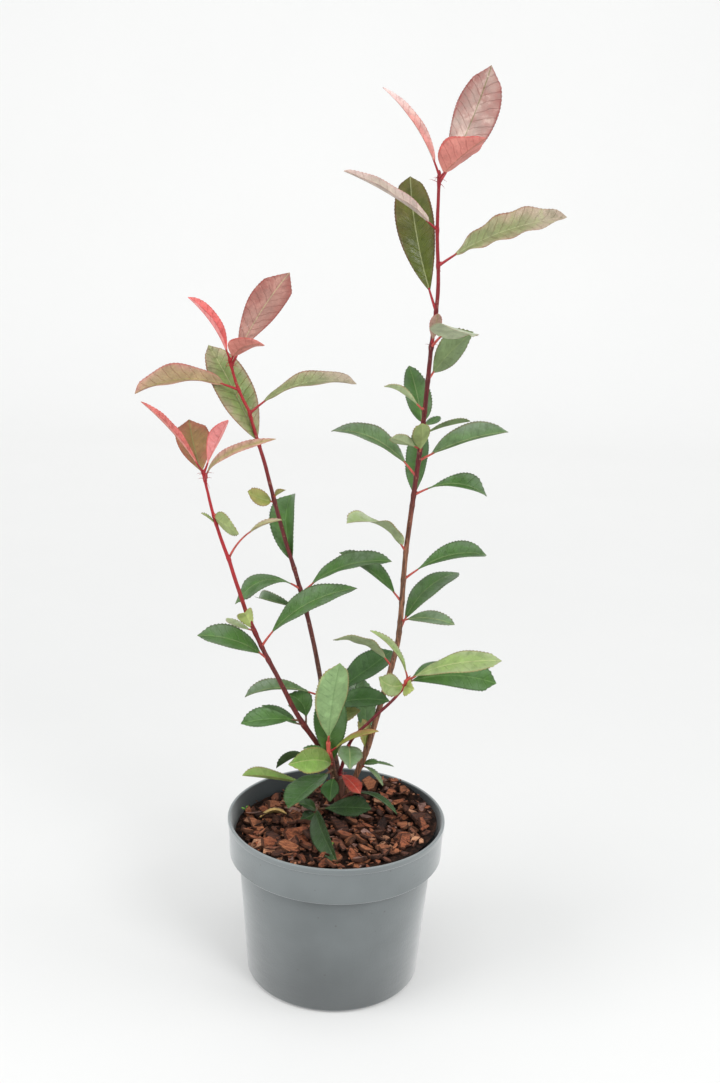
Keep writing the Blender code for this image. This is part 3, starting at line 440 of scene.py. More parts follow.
def bark_material(name, red_from, red_full, young=(176, 40, 50), mid=(124, 34, 40), old=(120, 84, 66), soft=0.05):
    """Stem bark: brown at the foot, maroon further up and red at the tip."""
    n = Nodes(name)
    place = n.place()
    parts = n.add("ShaderNodeSeparateXYZ")
    n.link(place, parts.inputs[0])
    height = n.math("ADD", parts.outputs["Z"], n.math("MULTIPLY", n.noise(place, 60), 0.6 * soft))
    streak = n.noise(place, 150, 4.0, stretch=(6.0, 6.0, 0.6))
    spots = n.step(n.noise(place, 420, 2.0), 0.62, 0.7)
    old_tone = n.mix(n.step(streak, 0.35, 0.65), linear(*[c * 0.6 for c in old]), linear(*[c * 1.12 for c in old]))
    mid_tone = n.mix(n.step(streak, 0.35, 0.7), linear(*[c * 0.72 for c in mid]), linear(*mid))
    young_tone = n.mix(streak, linear(*[c * 0.84 for c in young]), linear(*[min(255, c * 1.08) for c in young]))
    tone = n.mix(n.step(height, red_from - soft, red_from + soft), old_tone, mid_tone)
    tone = n.mix(n.step(height, red_full - 1.6 * soft, red_full + 0.4 * soft), tone, young_tone)
    tone = n.mix(n.math("MULTIPLY", spots, 0.35), tone, linear(168, 128, 104))
    relief = n.math("ADD", streak, n.math("MULTIPLY", spots, 0.8))
    normal = n.bump(relief, 0.5, 0.0006, n.bump(n.noise(place, 900, 2.0), 0.2, 0.0003))
    return n.finish(tone, n.step(streak, 0.3, 0.7, 0.42, 0.6), normal, Specular_IOR_Level=0.35)


def chip_material(name, tone, dark):
    """Bark of one tone, fibrous, with darker streaks and pale scuffs."""
    n = Nodes(name)
    place = n.place()
    grain = n.noise(place, 170, 5.0, 0.7, stretch=(1.0, 4.0, 2.5))
    patch = n.noise(place, 70, 3.0, 0.6)
    fine = n.noise(place, 800, 3.0, 0.6)
    colour = n.mix(n.step(grain, 0.36, 0.64), linear(*dark), linear(*tone))
    colour = n.mix(n.step(patch, 0.52, 0.68, 0.0, 0.8), colour, linear(*[0.55 * c for c in dark]))
    colour = n.mix(n.step(fine, 0.56, 0.7, 0.0, 0.4), colour, linear(*[min(255, 1.25 * c) for c in tone]))
    crack = n.cells(place, 210).outputs["Distance"]
    colour = n.mix(n.step(crack, 0.02, 0.12, 0.55, 0.0), colour, linear(*[0.4 * c for c in dark]))
    normal = n.bump(grain, 1.0, 0.002, n.bump(patch, 0.8, 0.002, n.bump(fine, 0.7, 0.0007)))
    return n.finish(colour, n.step(grain, 0.3, 0.7, 0.7, 0.92), normal, Specular_IOR_Level=0.25)


def mix_material():
    n = Nodes("mulch_ground")
    place = n.place()
    crumb = n.noise(place, 260, 5.0, 0.7)
    tone = n.mix(n.step(crumb, 0.4, 0.7), linear(20, 14, 12), linear(66, 42, 32))
    normal = n.bump(crumb, 0.9, 0.002)
    return n.finish(tone, 0.95, normal, Specular_IOR_Level=0.1)


def pot_material(name, dark, light):
    n = Nodes(name)
    place = n.place()
    cloud = n.noise(place, 14, 3.0)
    fine = n.noise(place, 650, 2.0)
    scuff = n.noise(place, 60, 5.0, 0.7, stretch=(1.0, 1.0, 5.0))
    tone = n.mix(n.step(cloud, 0.3, 0.7), linear(*dark), linear(*light))
    tone = n.mix(n.step(scuff, 0.62, 0.8, 0.0, 0.35), tone, linear(*[1.2 * c for c in light]))
    # Painted shade and light by height, with a little noise: darker towards the foot, lighter towards the rim
    parts = n.add("ShaderNodeSeparateXYZ")
    n.link(place, parts.inputs[0])
    painted_light_height = n.math("ADD", parts.outputs["Z"], n.math("MULTIPLY", n.math("SUBTRACT", cloud, 0.5), 0.05))
    tone = n.mix(n.step(painted_light_height, 0.0, 0.085, 0.5, 0.0), tone, linear(*[0.5 * c for c in dark]))
    tone = n.mix(n.step(painted_light_height, 0.09, 0.125, 0.0, 0.4), tone, linear(*[1.15 * c for c in light]))
    speck = n.cells(place, 95).outputs["Distance"]
    tone = n.mix(n.step(speck, 0.05, 0.09, 0.45, 0.0), tone, linear(66, 62, 58))
    normal = n.bump(fine, 0.18, 0.0004, n.bump(cloud, 0.1, 0.001))
    return n.finish(tone, n.step(scuff, 0.3, 0.8, 0.34, 0.48), normal, Specular_IOR_Level=0.5, Sheen_Weight=0.8,
                    Sheen_Roughness=0.4)


def leaf_frame(leaf, turn=0.0):
    """Chord direction, upper side and left side of a leaf."""
    heading, rise = math.radians(leaf.heading), math.radians(leaf.rise)
    roll = math.radians(leaf.roll + turn)
    chord = Vector((math.cos(rise) * math.cos(heading), math.cos(rise) * math.sin(heading), math.sin(rise)))
    upper = Vector((-math.sin(rise) * math.cos(heading), -math.sin(rise) * math.sin(heading), math.cos(rise)))
    left = upper.cross(chord)
    upper = upper * math.cos(roll) + left * math.sin(roll)
    return chord, upper, upper.cross(chord)


def half_width(leaf, u):
    """Half the blade's width at a share of the blade's length, ending in a short point."""
    if u <= 0 or u >= 1:
        return 0.0
    rise = leaf.tail * leaf.peak / (1 - leaf.peak)
    top = leaf.peak ** rise * (1 - leaf.peak) ** leaf.tail
    full = leaf.width / 2 * u ** rise * (1 - u) ** leaf.tail / top
    return min(full, TIP_SLOPE * leaf.length * (1 - leaf.stalk) * (1 - u))


class Patch:
    """Vertices, faces, materials and a map, gathered into one mesh."""

    def __init__(self):
        self.points = []
        self.faces = []
        self.kinds = []
        self.maps = []
        self.shares = []
        self.materials = []

    def kind(self, material):
        if material not in self.materials:
            self.materials.append(material)
        return self.materials.index(material)

    def face(self, corners, kind, maps):
        self.faces.append(corners)
        self.kinds.append(kind)
        self.maps.extend(maps)

    def build(self, name, nodes, slot):
        mesh = bpy.data.meshes.new(name)
        mesh.from_pydata([tuple(c * MM for c in p) for p in self.points], [], self.faces)
        for material in self.materials:
            mesh.materials.append(material)
        mesh.polygons.foreach_set("material_index", self.kinds)
        mesh.polygons.foreach_set("use_smooth", [True] * len(self.faces))
        layer = mesh.uv_layers.new(name="map")
        layer.data.foreach_set("uv", [c for pair in self.maps for c in pair])
        if self.shares:
            shares = mesh.attributes.new("share", "FLOAT_VECTOR", "POINT")
            shares.data.foreach_set("vector", [c for row in self.shares for c in row])
        mesh.update()
        piece = bpy.data.objects.new(name, mesh)
        bpy.context.scene.collection.objects.link(piece)
        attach(piece, "root")
        if nodes:
            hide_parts(*nodes)
        return piece


COLUMNS = (0.0, 0.1, 0.32, 0.58, 0.82, 0.96, 1.0)
TIP_SLOPE = 1.1
LEAF_STEP = 1.25
TOOTH = 0.75
YOUNG_TOOTH = 0.3
SKIN = 0.16


def add_leaf(patch, leaf, base, rng, kinds):
    """A thin blade with toothed margin, raised midrib below and soft waves."""
    upper_kind, under_kind = kinds
    stalk = leaf.stalk
    blade = leaf.length * (1 - stalk)
    count = max(14, int(blade / LEAF_STEP))
    if count % 2:
        count += 1
    chord, upper, left = leaf_frame(leaf)
    fold = math.radians(leaf.fold)
    ripple = rng.uniform(0.006, 0.012) * leaf.width * WAVY.get(leaf.tint, 1.3)
    waves = blade / rng.uniform(20, 34)
    chance = rng.random()
    phases = (rng.uniform(0, 6.28), rng.uniform(0, 6.28))

    def rib(t):
        arc = 4 * leaf.length * t * (1 - t)
        return base + chord * leaf.length * t + upper * arc * leaf.bend + left * arc * leaf.sway

    sides = [-k for k in reversed(COLUMNS[1:])] + list(COLUMNS)
    wide = len(sides)
    top, low, spread = [], [], []
    for i in range(count + 1):
        u = i / count
        t = stalk + (1 - stalk) * u
        centre = rib(t)
        along = (rib(t + 0.005) - rib(t - 0.005)).normalized()
        up = (upper - along * upper.dot(along)).normalized()
        side = up.cross(along)
        turn = math.radians(leaf.twist * (u - 0.5))
        up, side = up * math.cos(turn) + side * math.sin(turn), side * math.cos(turn) - up * math.sin(turn)
        half = max(half_width(leaf, u), 0.62 * (1 - u) + 0.05)
        keel = min(0.5 * (1 - 0.6 * u), half * 0.5)
        tooth = (YOUNG_TOOTH if leaf.tint in YOUNG + ("olive",) else TOOTH) * min(1.0, max(0.0, (u - 0.08) * 8)) * min(1.0, (1 - u) * 10) * (i % 2)
        top_row, low_row, row_spread = [], [], []
        for k in sides:
            share = abs(k)
            hand = 1 if k > 0 else -1
            if share <= COLUMNS[1]:
                reach = keel * share / COLUMNS[1]
            else:
                reach = keel + (half - keel) * (share - COLUMNS[1]) / (1 - COLUMNS[1])
            q = reach / max(half, 0.01)
            if share == 1.0:
                reach += tooth
            wave = ripple * q * q * math.sin(waves * 6.28 * u + phases[hand > 0]) * min(1.0, half / 5)
            lift = reach * math.sin(fold) * (0.55 + 0.45 * q) + wave
            point = centre + side * hand * reach * math.cos(fold) + up * lift
            if share == 1.0:
                point += along * 0.6 * tooth
            skin = 0.0 if share == 1.0 else SKIN
            ridge = 0.5 * (1 - 0.7 * u) * max(0.0, 1 - share / COLUMNS[1])
            top_row.append(point + up * (skin - 0.12 * (share == 0)))
            low_row.append(point - up * (skin + ridge))
            row_spread.append(hand * reach / 10)
        top.append(top_row)
        low.append(low_row)
        spread.append(row_spread)

    first = len(patch.points)
    for row in top:
        patch.points.extend(tuple(p) for p in row)
    second = len(patch.points)
    inner = wide - 2
    for row in low:
        patch.points.extend(tuple(p) for p in row[1:-1])
    for columns in (sides, sides[1:-1]):
        patch.shares += [(i / count, abs(k), chance) for i in range(count + 1) for k in columns]

    def top_at(i, j):
        return first + i * wide + j

    def low_at(i, j):
        return top_at(i, j) if j in (0, wide - 1) else second + i * inner + j - 1

    for i in range(count):
        for j in range(wide - 1):
            flow = [(i * blade / count / 10, spread[i][j]), ((i + 1) * blade / count / 10, spread[i + 1][j]),
                    ((i + 1) * blade / count / 10, spread[i + 1][j + 1]), (i * blade / count / 10, spread[i][j + 1])]
            patch.face((top_at(i, j), top_at(i + 1, j), top_at(i + 1, j + 1), top_at(i, j + 1)), upper_kind, flow)
            patch.face((low_at(i, j + 1), low_at(i + 1, j + 1), low_at(i + 1, j), low_at(i, j)), under_kind,
                       flow[::-1])
    for i in (0, count):
        ring = [top_at(i, j) for j in range(wide)] + [low_at(i, j) for j in range(wide - 2, 0, -1)]
        if i == count:
            ring.reverse()
        patch.face(tuple(ring), under_kind, [(0, 0)] * len(ring))


def add_tube(patch, points, radii, kind, sides=10, close=(True, True)):
    """A round tube through points, with a radius at each."""
    first = len(patch.points)
    count = len(points)
    length = 0.0
    lengths = []
    for i, point in enumerate(points):
        if i:
            length += (points[i] - points[i - 1]).length
        lengths.append(length)
        ahead = points[min(i + 1, count - 1)] - points[max(i - 1, 0)]
        along = ahead.normalized()
        side = Vector((1, 0, 0)) if abs(along.x) < 0.9 else Vector((0, 1, 0))
        side = (side - along * side.dot(along)).normalized()
        other = along.cross(side)
        for j in range(sides):
            turn = 2 * math.pi * j / sides
            radius = radii[i](turn) if callable(radii[i]) else radii[i]
            patch.points.append(tuple(point + side * radius * math.cos(turn) + other * radius * math.sin(turn)))
    for i in range(count - 1):
        for j in range(sides):
            a, b = first + i * sides + j, first + i * sides + (j + 1) % sides
            flow = [(lengths[i] / 10, j / sides), (lengths[i] / 10, (j + 1) / sides),
                    (lengths[i + 1] / 10, (j + 1) / sides), (lengths[i + 1] / 10, j / sides)]
            patch.face((a, b, b + sides, a + sides), kind, flow)
    if close[0]:
        ring = tuple(first + j for j in reversed(range(sides)))
        patch.face(ring, kind, [(0, 0)] * sides)
    if close[1]:
        ring = tuple(first + (count - 1) * sides + j for j in range(sides))
        patch.face(ring, kind, [(0, 0)] * sides)


def add_stalk(patch, leaf, base, kind, rng):
    """The stalk from the stem to the blade, with a bud in its axil."""
    chord, upper, left = leaf_frame(leaf)

    def rib(t):
        arc = 4 * leaf.length * t * (1 - t)
        return base + chord * leaf.length * t + upper * arc * leaf.bend + left * arc * leaf.sway

    steps = 7
    points = [rib((leaf.stalk + 0.03) * k / steps) for k in range(steps + 1)]
    thick = 0.6 + 0.008 * leaf.width
    radii = [thick * (1.35 - 0.5 * k / steps) for k in range(steps + 1)]
    add_tube(patch, points, radii, kind, 10)
    start = base + (chord + Vector((0, 0, 0.9))).normalized() * 1.2
    tip = start + (chord * 0.8 + Vector((0, 0, 1))).normalized() * rng.uniform(2.0, 3.4)
    bud = [start.lerp(tip, s) for s in (0, 0.25, 0.5, 0.75, 1.0)]
    add_tube(patch, bud, [0.7, 0.95, 0.8, 0.45, 0.08], kind, 8)
    if leaf.tint in YOUNG:
        for hand in (-1, 1):
            reach = rng.uniform(3.5, 8)
            out = (left * hand + chord * 0.4 + Vector((0, 0, rng.uniform(-0.5, 0.6)))).normalized()
            hair = [base + out * (1 + reach * s) + Vector((0, 0, -2 * s * s)) for s in (0, 0.33, 0.66, 1.0)]
            add_tube(patch, hair, [0.28, 0.2, 0.14, 0.05], kind, 5)


def add_stem(patch, route, radii, low, high, marks, kind, rng, sides=18, step=1.6):
    """A stem with a swelling where each leaf starts, slightly uneven."""
    count = max(4, int((high - low) / step))
    points, rings = [], []
    seed = rng.uniform(0, 100)
    for i in range(count + 1):
        height = low + (high - low) * i / count
        points.append(spline(route, height))
        radius = float(np.interp(height, radii[0], radii[1]))
        swell = sum(0.32 * math.exp(-((height - m) / 1.8) ** 2) for m in marks)
        fade = 0.35 if i == count else 1.0

        def ring(turn, radius=radius, swell=swell, height=height, fade=fade):
            rough = noise.noise(Vector((math.cos(turn) * 1.3 + seed, math.sin(turn) * 1.3, height * 0.16)))
            return (radius * (1 + 0.07 * rough) + swell) * fade
        rings.append(ring)
    add_tube(patch, points, rings, kind, sides)


# Thickness of each limb: heights and radii
TALL_RADII = ((126, 260, 450, 611), (2.5, 2.1, 1.7, 1.1))
MIDDLE_RADII = ((150, 250, 400, 477), (2.3, 1.8, 1.4, 0.95))
LEFT_RADII = ((150, 210, 330, 401), (2.3, 1.9, 1.4, 0.9))
RIGHT_RADII = ((152, 187, 243), (1.6, 1.25, 1.1))
FRONT_RADII = ((150, 188), (1.9, 1.5))
TWIG_RADII = ((119, 160), (1.6, 1.4))


def dress_plant():
    rng = np.random.default_rng(5)
    masses = [
        ("tall_foot", TALL, TALL_FOOT), ("tall_lower", TALL, TALL_LOWER), ("tall_middle", TALL, TALL_MIDDLE),
        ("tall_upper", TALL, TALL_UPPER), ("tall_top", TALL, TALL_TOP),
        ("middle_base", MIDDLE, MIDDLE_BASE), ("middle_lower", MIDDLE, MIDDLE_LOWER),
        ("middle_upper", MIDDLE, MIDDLE_UPPER), ("middle_top", MIDDLE, MIDDLE_TOP),
        ("left_base", LEFT, LEFT_BASE), ("left_lower", LEFT, LEFT_LOWER),
        ("left_middle", LEFT, LEFT_MIDDLE), ("left_top", LEFT, LEFT_TOP),
        ("right_low", RIGHT, RIGHT_LOW), ("right", RIGHT, RIGHT_TIP),
        ("front", FRONT, FRONT_LEAVES),
        ("foot_left", FOOT_LEFT, FOOT_LEFT_LEAVES), ("foot_right", FOOT_RIGHT, FOOT_RIGHT_LEAVES),
        ("sprout", SPROUT, SPROUT_LEAVES),
    ]
    stalks = {k: plain_material("stalk_" + k, tone) for k, tone in STALKS.items()}
    used = sorted({leaf.tint for _, _, leaves in masses for leaf in leaves})
    sides = {t: (leaf_material(t, "upper"), leaf_material(t, "under")) for t in used}
    barks = {
        "tall": bark_material("bark_tall", 0.37, 0.57, young=(140, 30, 38), mid=(104, 24, 28), old=(134, 92, 68)),
        "middle": bark_material("bark_middle", 0.27, 0.45, young=(160, 36, 42), mid=(104, 36, 36), old=(104, 70, 56)),
        "left": bark_material("bark_left", 0.17, 0.34, young=(166, 38, 44), mid=(118, 44, 42), old=(88, 54, 46)),
        "right": bark_material("bark_right", 0.13, 0.245, young=(196, 70, 64), mid=(124, 34, 42), soft=0.012),
        "front": bark_material("bark_front", 0.168, 0.178, young=(206, 92, 78), mid=(128, 62, 48), old=(84, 62, 46),
                               soft=0.004),
        "foot": bark_material("bark_foot", 0.15, 0.30, old=(88, 74, 50)),
    }
    for name, route, leaves in masses:
        blades, twigs = Patch(), Patch()
        for leaf in leaves:
            base = spline(route, leaf.up)
            add_leaf(blades, leaf, base, rng, [blades.kind(m) for m in sides[leaf.tint]])
            add_stalk(twigs, leaf, base, twigs.kind(stalks[TINTS[leaf.tint][5]]), rng)
        node = "foliage_" + name
        blades.build("leaves_" + name, [node], node)
        twigs.build("stalks_" + name, [node], node)

    stems = [
        ("stem_tall", TALL, TALL_RADII, 128, 612, "tall", ["bough_tall_foot", "bough_tall"], "bough_tall"),
        ("stem_middle", MIDDLE, MIDDLE_RADII, 152, 478, "middle", ["bough_middle_foot", "bough_middle"],
         "bough_middle"),
        ("stem_left", LEFT, LEFT_RADII, 152, 402, "left", ["bough_left_foot", "bough_left"], "bough_left"),
        ("stem_right", RIGHT, RIGHT_RADII, 153, 246, "right", ["bough_right"], "bough_right"),
        ("stem_front", FRONT, FRONT_RADII, 151, 189, "front", [], "foliage_front"),
        ("stem_foot_left", FOOT_LEFT, TWIG_RADII, 137, 147, "foot", [], "foliage_foot_left"),
        ("stem_foot_right", FOOT_RIGHT, TWIG_RADII, 132, 144, "foot", [], "foliage_foot_right"),
        ("stem_sprout", SPROUT, TWIG_RADII, SPROUT[0][2], 132, "foot", [], "foliage_sprout"),
    ]
    for name, route, radii, low, high, bark, nodes, slot in stems:
        marks = [leaf.up for _, r, leaves in masses if r is route for leaf in leaves]
        stem = Patch()
        add_stem(stem, route, radii, low, high, marks, stem.kind(barks[bark]), rng)
        stem.build(name, nodes, slot)

    trunk = Patch()
    kind = trunk.kind(bark_material("bark_trunk", 0.5, 0.9, old=(88, 58, 46)))
    heights = np.linspace(TRUNK[0][2], TRUNK[-1][2] + 1, 40)
    points, rings = [], []
    for height in heights:
        points.append(spline(TRUNK, height))
        radius = float(np.interp(height, [p[2] for p in TRUNK], [p[3] for p in TRUNK]))
        fade = 0.6 if height == heights[-1] else 1.0

        def ring(turn, radius=radius, height=height, fade=fade):
            lump = noise.noise(Vector((math.cos(turn) * 1.5, math.sin(turn) * 1.5, height * 0.15)))
            flare = 0.12 * math.cos(3 * turn + 1) * max(0, 1 - (height - TRUNK[0][2]) / 10)
            return radius * (0.97 + 0.1 * lump + flare) * fade
        rings.append(ring)
    add_tube(trunk, points, rings, kind, 32)
    trunk.build("trunk_bark", ["trunk"], "trunk")


# Bark mulch, lowest layer first: how many chips, shortest and longest, lift, and width as a share of length
MULCH_LAYERS = ((420, 6, 10, 0.0, (0.4, 0.85)), (330, 10, 17, 1.0, (0.4, 0.8)), (150, 15, 26, 2.2, (0.35, 0.75)),
                (260, 2, 4, 2.4, (0.3, 0.8)), (110, 7, 16, 3.0, (0.12, 0.3)))


def mix_level(x, y):
    """Uneven level of the mulch."""
    wave = math.sin(x * 0.11 + 0.7) * math.cos(y * 0.13 - 0.7) + 0.6 * math.sin(x * 0.05 - y * 0.07)
    heap = 11.5 * math.exp(-((x - 40) ** 2 + (y - 57) ** 2) / 23 ** 2)
    edge = max(0.0, min(1.0, (math.hypot(x, y) - 48) / 26))
    heap += 7.5 * edge * edge * max(0.0, math.cos(math.atan2(y, x) - 0.1)) ** 2
    return MIX_LEVEL + MIX_SLOPE[0] * x + MIX_SLOPE[1] * y + MIX_ROUGH * wave + heap


def add_chip(patch, spot, level, length, rng, kinds, slim=(0.4, 0.85)):
    """An angular flake of bark whose sides are darker: painted shade."""
    width = length * rng.uniform(*slim)
    thick = rng.uniform(0.14, 0.3) * width + 0.6
    corners = rng.integers(5, 10)
    turns = np.linspace(0, 2 * math.pi, corners, endpoint=False) + rng.uniform(-0.5, 0.5, corners)
    reach = rng.uniform(0.66, 1.15, corners)
    tilt = Matrix.Rotation(rng.uniform(0, 6.28), 3, "Z") @ Matrix.Rotation(rng.normal(0, 0.38), 3, "X") \
        @ Matrix.Rotation(rng.normal(0, 0.38), 3, "Y")
    bow = rng.uniform(-0.012, 0.02)
    first = len(patch.points)
    n = len(turns)
    for z, scale in ((-0.5, 0.82), (-0.15, 1.0), (0.3, 0.97), (0.5, 0.84)):
        for turn, far in zip(turns, reach):
            out = scale * far * rng.uniform(0.94, 1.06)
            p = Vector((math.cos(turn) * length / 2 * out, math.sin(turn) * width / 2 * out, 0))
            p.z = z * thick * rng.uniform(0.7, 1.2) + bow * p.x * p.x
            patch.points.append(tuple(tilt @ p + Vector((spot[0], spot[1], level))))
    for i in range(3):
        for j in range(n):
            a, b = first + i * n + j, first + i * n + (j + 1) % n
            patch.face((a, b, b + n, a + n), kinds[1], [(0, 0)] * 4)
    patch.face(tuple(first + j for j in reversed(range(n))), kinds[1], [(0, 0)] * n)
    patch.face(tuple(first + 3 * n + j for j in range(n)), kinds[0], [(0, 0)] * n)


def dress_mulch():
    rng = np.random.default_rng(21)
    ground = Patch()
    kind = ground.kind(mix_material())
    rings, sides, reach = 26, 96, 77.5
    first = len(ground.points)
    for i in range(rings + 1):
        radius = reach * i / rings
        for j in range(sides):
            turn = 2 * math.pi * j / sides
            x, y = radius * math.cos(turn), radius * math.sin(turn)
            rough = noise.noise(Vector((x * 0.25, y * 0.25, 3.0)))
            ground.points.append((x, y, mix_level(x, y) - 1.0 + 1.3 * rough))
    for i in range(rings):
        for j in range(sides):
            a, b = first + i * sides + j, first + i * sides + (j + 1) % sides
            ground.face((a, a + sides, b + sides, b), kind, [(0, 0)] * 4)
    ground.build("mulch_ground", ["growing_mix"], "growing_mix")

    tones = [((182, 116, 80), (124, 72, 50)), ((168, 100, 68), (108, 60, 44)), ((142, 90, 66), (86, 50, 40)),
             ((200, 148, 114), (150, 98, 74)), ((158, 122, 110), (112, 80, 72)), ((98, 62, 48), (52, 34, 30))]
    weights = (0.22, 0.24, 0.2, 0.09, 0.1, 0.15)
    chips = Patch()
    faces = [chips.kind(chip_material(f"bark_chip_{k}", *tone)) for k, tone in enumerate(tones)]
    # The chips' sides take darker copies of the face materials: painted shade
    sides = [chips.kind(chip_material(f"bark_side_shaded_{k}", *[[0.55 * c for c in t] for t in tone]))
             for k, tone in enumerate(tones[:3])]
    for count, small, large, lift, slim in MULCH_LAYERS:
        placed = []
        for k in range(count):
            radius = 75 * math.sqrt(rng.random())
            turn = 2 * math.pi * rng.random()
            x, y = radius * math.cos(turn), radius * math.sin(turn)
            length = rng.uniform(small, large)
            if math.hypot(x - 4, y - 22) < 7 + length / 2 or math.hypot(x + 16, y - 13) < 3 + length / 2:
                continue
            if radius + length * 0.45 > 77 or any(math.hypot(a - x, b - y) < length * 0.55 for a, b in placed):
                continue
            placed.append((x, y))
            pick = rng.choice(len(tones), p=weights)
            add_chip(chips, (x, y), mix_level(x, y) + lift + rng.uniform(-0.6, 1.2), length, rng,
                     (faces[pick], sides[pick % 3]), slim)
    made = chips.build("bark_chips", ["growing_mix"], "growing_mix")
    made.data.polygons.foreach_set("use_smooth", [False] * len(made.data.polygons))

    litter = Patch()
    dry = [litter.kind(leaf_material("dry", side)) for side in ("upper", "under")]
    young = [litter.kind(leaf_material("weed", side)) for side in ("upper", "under")]
    add_leaf(litter, Leaf(0, 12, 4, 22, 11, 0.12, 18, 25, 0.1, stalk=0.04, tint="dry"),
             Vector((-60, 3, mix_level(-60, 3) + 4)), rng, dry)
    for x, y in ((-71, 17), (-5, -43)):
        for heading in (20, 140, 250):
            add_leaf(litter, Leaf(0, heading + x, 35, 5, 2.4, 0.1, 0, 15, stalk=0.2, tint="weed"),
                     Vector((x, y, mix_level(x, y) + 3)), rng, young)
    litter.build("litter", ["growing_mix"], "growing_mix")


def dress_pot():
    collar = POT_HEIGHT - COLLAR_DROP
    lip = POT_HEIGHT - LIP_HEIGHT
    inner = COLLAR_FOOT_RADIUS - WALL
    floor_bore = FOOT_RADIUS - WALL + 0.2
    profile = [
        (RIM_RADIUS - WALL, POT_HEIGHT - 0.5), (RIM_RADIUS - WALL + 0.5, POT_HEIGHT), (RIM_RADIUS - 0.5, POT_HEIGHT),
        (RIM_RADIUS, POT_HEIGHT - 0.5), (RIM_RADIUS, lip + 0.3), (RIM_RADIUS - 0.15, lip),
        (RIM_RADIUS - LIP_PROUD - 0.05, lip - 0.5), (RIM_RADIUS - LIP_PROUD - 0.1, lip - 1.0),
        (COLLAR_FOOT_RADIUS + 0.02, collar + 0.5), (COLLAR_FOOT_RADIUS - 0.4, collar),
        (NECK_RADIUS + 0.6, collar), (NECK_RADIUS, collar - 0.6), (FOOT_RADIUS + 0.3, FOOT_ROUND),
    ]
    for k in range(1, 6):
        turn = math.pi / 2 * k / 5
        profile.append((FOOT_RADIUS - FOOT_ROUND * (1 - math.cos(turn)), FOOT_ROUND * (1 - math.sin(turn))))
    profile += [(30, 0.0), (0.02, 0.0), (0.02, FLOOR), (floor_bore, FLOOR), (NECK_RADIUS - WALL, collar - 2),
                (inner, collar + 4)]
    patch = Patch()
    kind = patch.kind(pot_material("pot_plastic", (98, 104, 105), (107, 113, 114)))
    # pot_inside is a darker copy of the same plastic: partly painted shade in the pot's hollow, partly the inside's own
    # darker, less dusty plastic
    inside = patch.kind(pot_material("pot_inside", (54, 60, 62), (66, 72, 74)))
    sides = 160
    for r, z in profile:
        for j in range(sides):
            turn = 2 * math.pi * j / sides
            patch.points.append((r * math.cos(turn), r * math.sin(turn), z))
    count = len(profile)
    for i in range(count):
        for j in range(sides):
            a, b = i * sides + j, i * sides + (j + 1) % sides
            c, d = (i + 1) % count * sides + j, (i + 1) % count * sides + (j + 1) % sides
            patch.face((a, c, d, b), inside if i >= count - 5 else kind, [(0, 0)] * 4)
    pot = patch.build("pot_shell", ["pot"], "pot")
    pot.data.set_sharp_from_angle(angle=math.radians(32))


def axes(yaw, pitch, roll):
    """Right, down and forward directions of the camera."""
    yaw, pitch, roll = (math.radians(v) for v in (yaw, pitch, roll))
    forward = Vector((math.sin(yaw) * math.cos(pitch), math.cos(yaw) * math.cos(pitch), -math.sin(pitch)))
    right = Vector((math.cos(yaw), -math.sin(yaw), 0))
    down = forward.cross(right)
    turned = right * math.cos(roll) + down * math.sin(roll)
    dropped = down * math.cos(roll) - right * math.sin(roll)
    return turned, dropped, forward


# The floor glows a little, and more towards the wall, which stands far enough off for views from behind
GLOW_SPAN = (0.1, 2.0)
GLOW = (0.22, 0.4)


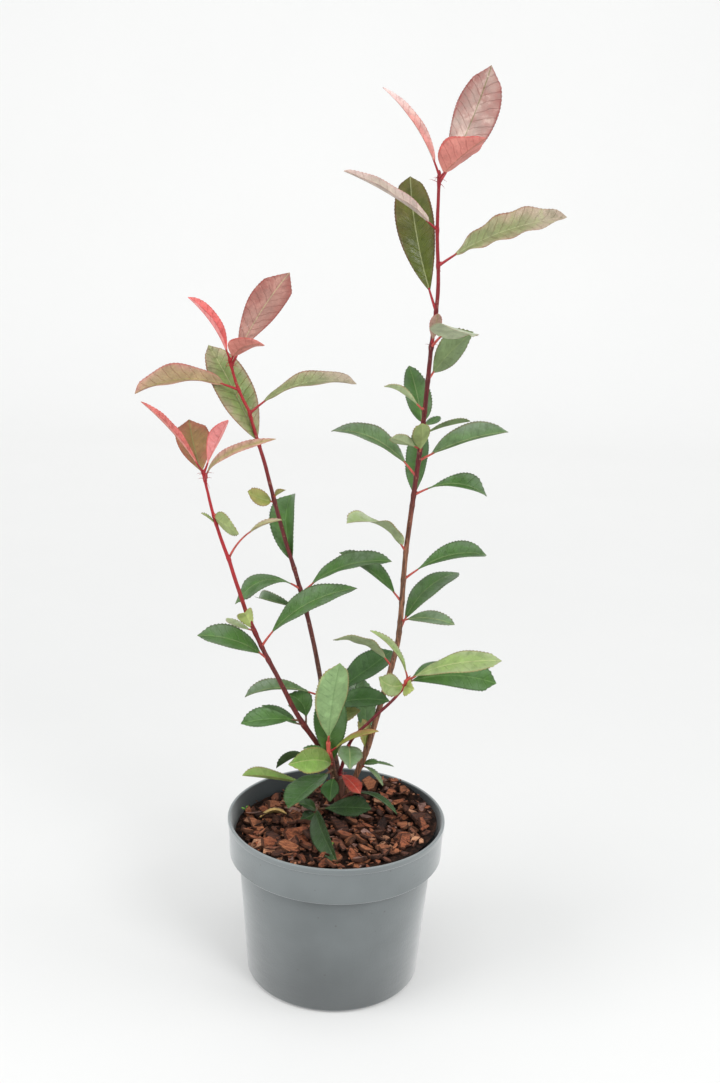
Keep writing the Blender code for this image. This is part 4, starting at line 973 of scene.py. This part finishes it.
def set_stage():
    scene = bpy.context.scene
    data = bpy.data.cameras.new("camera")
    data.sensor_width = 36
    data.lens = 44.24
    data.clip_end = 20
    camera = bpy.data.objects.new("camera", data)
    scene.collection.objects.link(camera)
    right, down, forward = axes(0.510, 16.008, -1.947)
    camera.matrix_world = Matrix.Translation(Vector((2.74, -930.64, 617.24)) * MM) @ Matrix(
        (right, -down, -forward)).transposed().to_4x4()
    scene.camera = camera

    n = Nodes("stage_white")
    tone = n.mix(n.noise(n.place(), 3.0), linear(189, 189, 188), linear(193, 193, 192))
    parts = n.add("ShaderNodeSeparateXYZ")
    n.link(n.place(), parts.inputs[0])
    white = n.finish(tone, 0.8, Specular_IOR_Level=0.1, Emission_Color=(1.0, 1.0, 0.99, 1))
    n.link(n.step(parts.outputs["Y"], *GLOW_SPAN, *GLOW), n.shader.inputs["Emission Strength"])
    points, faces = [], []
    back, bend, width, top = 2.4, 0.4, 4.0, 3.4
    curve = [(-3.4, 0.0)] + [(0.2 * k, 0.0) for k in range(10)]
    for k in range(9):
        turn = math.pi / 2 * k / 8
        curve.append((back - bend + bend * math.sin(turn), bend - bend * math.cos(turn)))
    curve.append((back, top))
    for y, z in curve:
        points += [(-width, y, z - 0.0004), (width, y, z - 0.0004)]
    for k in range(len(curve) - 1):
        faces.append((2 * k, 2 * k + 1, 2 * k + 3, 2 * k + 2))
    mesh = bpy.data.meshes.new("backdrop")
    mesh.from_pydata(points, [], faces)
    mesh.materials.append(white)
    mesh.polygons.foreach_set("use_smooth", [True] * len(faces))
    backdrop = bpy.data.objects.new("backdrop", mesh)
    scene.collection.objects.link(backdrop)

    world = bpy.data.worlds.new("studio")
    world.use_nodes = True
    world.node_tree.nodes["Background"].inputs["Color"].default_value = (0.95, 0.975, 1.0, 1)
    world.node_tree.nodes["Background"].inputs["Strength"].default_value = 0.6
    scene.world = world
    lights = [("key", (1.2, -1.6, 1.7), 0.8, 24), ("left", (-1.7, -0.7, 1.1), 1.4, 24),
              ("right", (1.8, -0.3, 1.0), 1.2, 12), ("top", (0, -0.4, 2.3), 1.6, 16)]
    for name, spot, size, power in lights:
        light = bpy.data.lights.new(name, "AREA")
        light.size = size
        light.energy = power
        lamp = bpy.data.objects.new(name, light)
        lamp.location = spot
        lamp.rotation_euler = (Vector((0, 0, 0.3)) - Vector(spot)).to_track_quat("-Z", "Y").to_euler()
        scene.collection.objects.link(lamp)
    scene.view_settings.view_transform = "Standard"


dress_pot()
dress_mulch()
dress_plant()
set_stage()
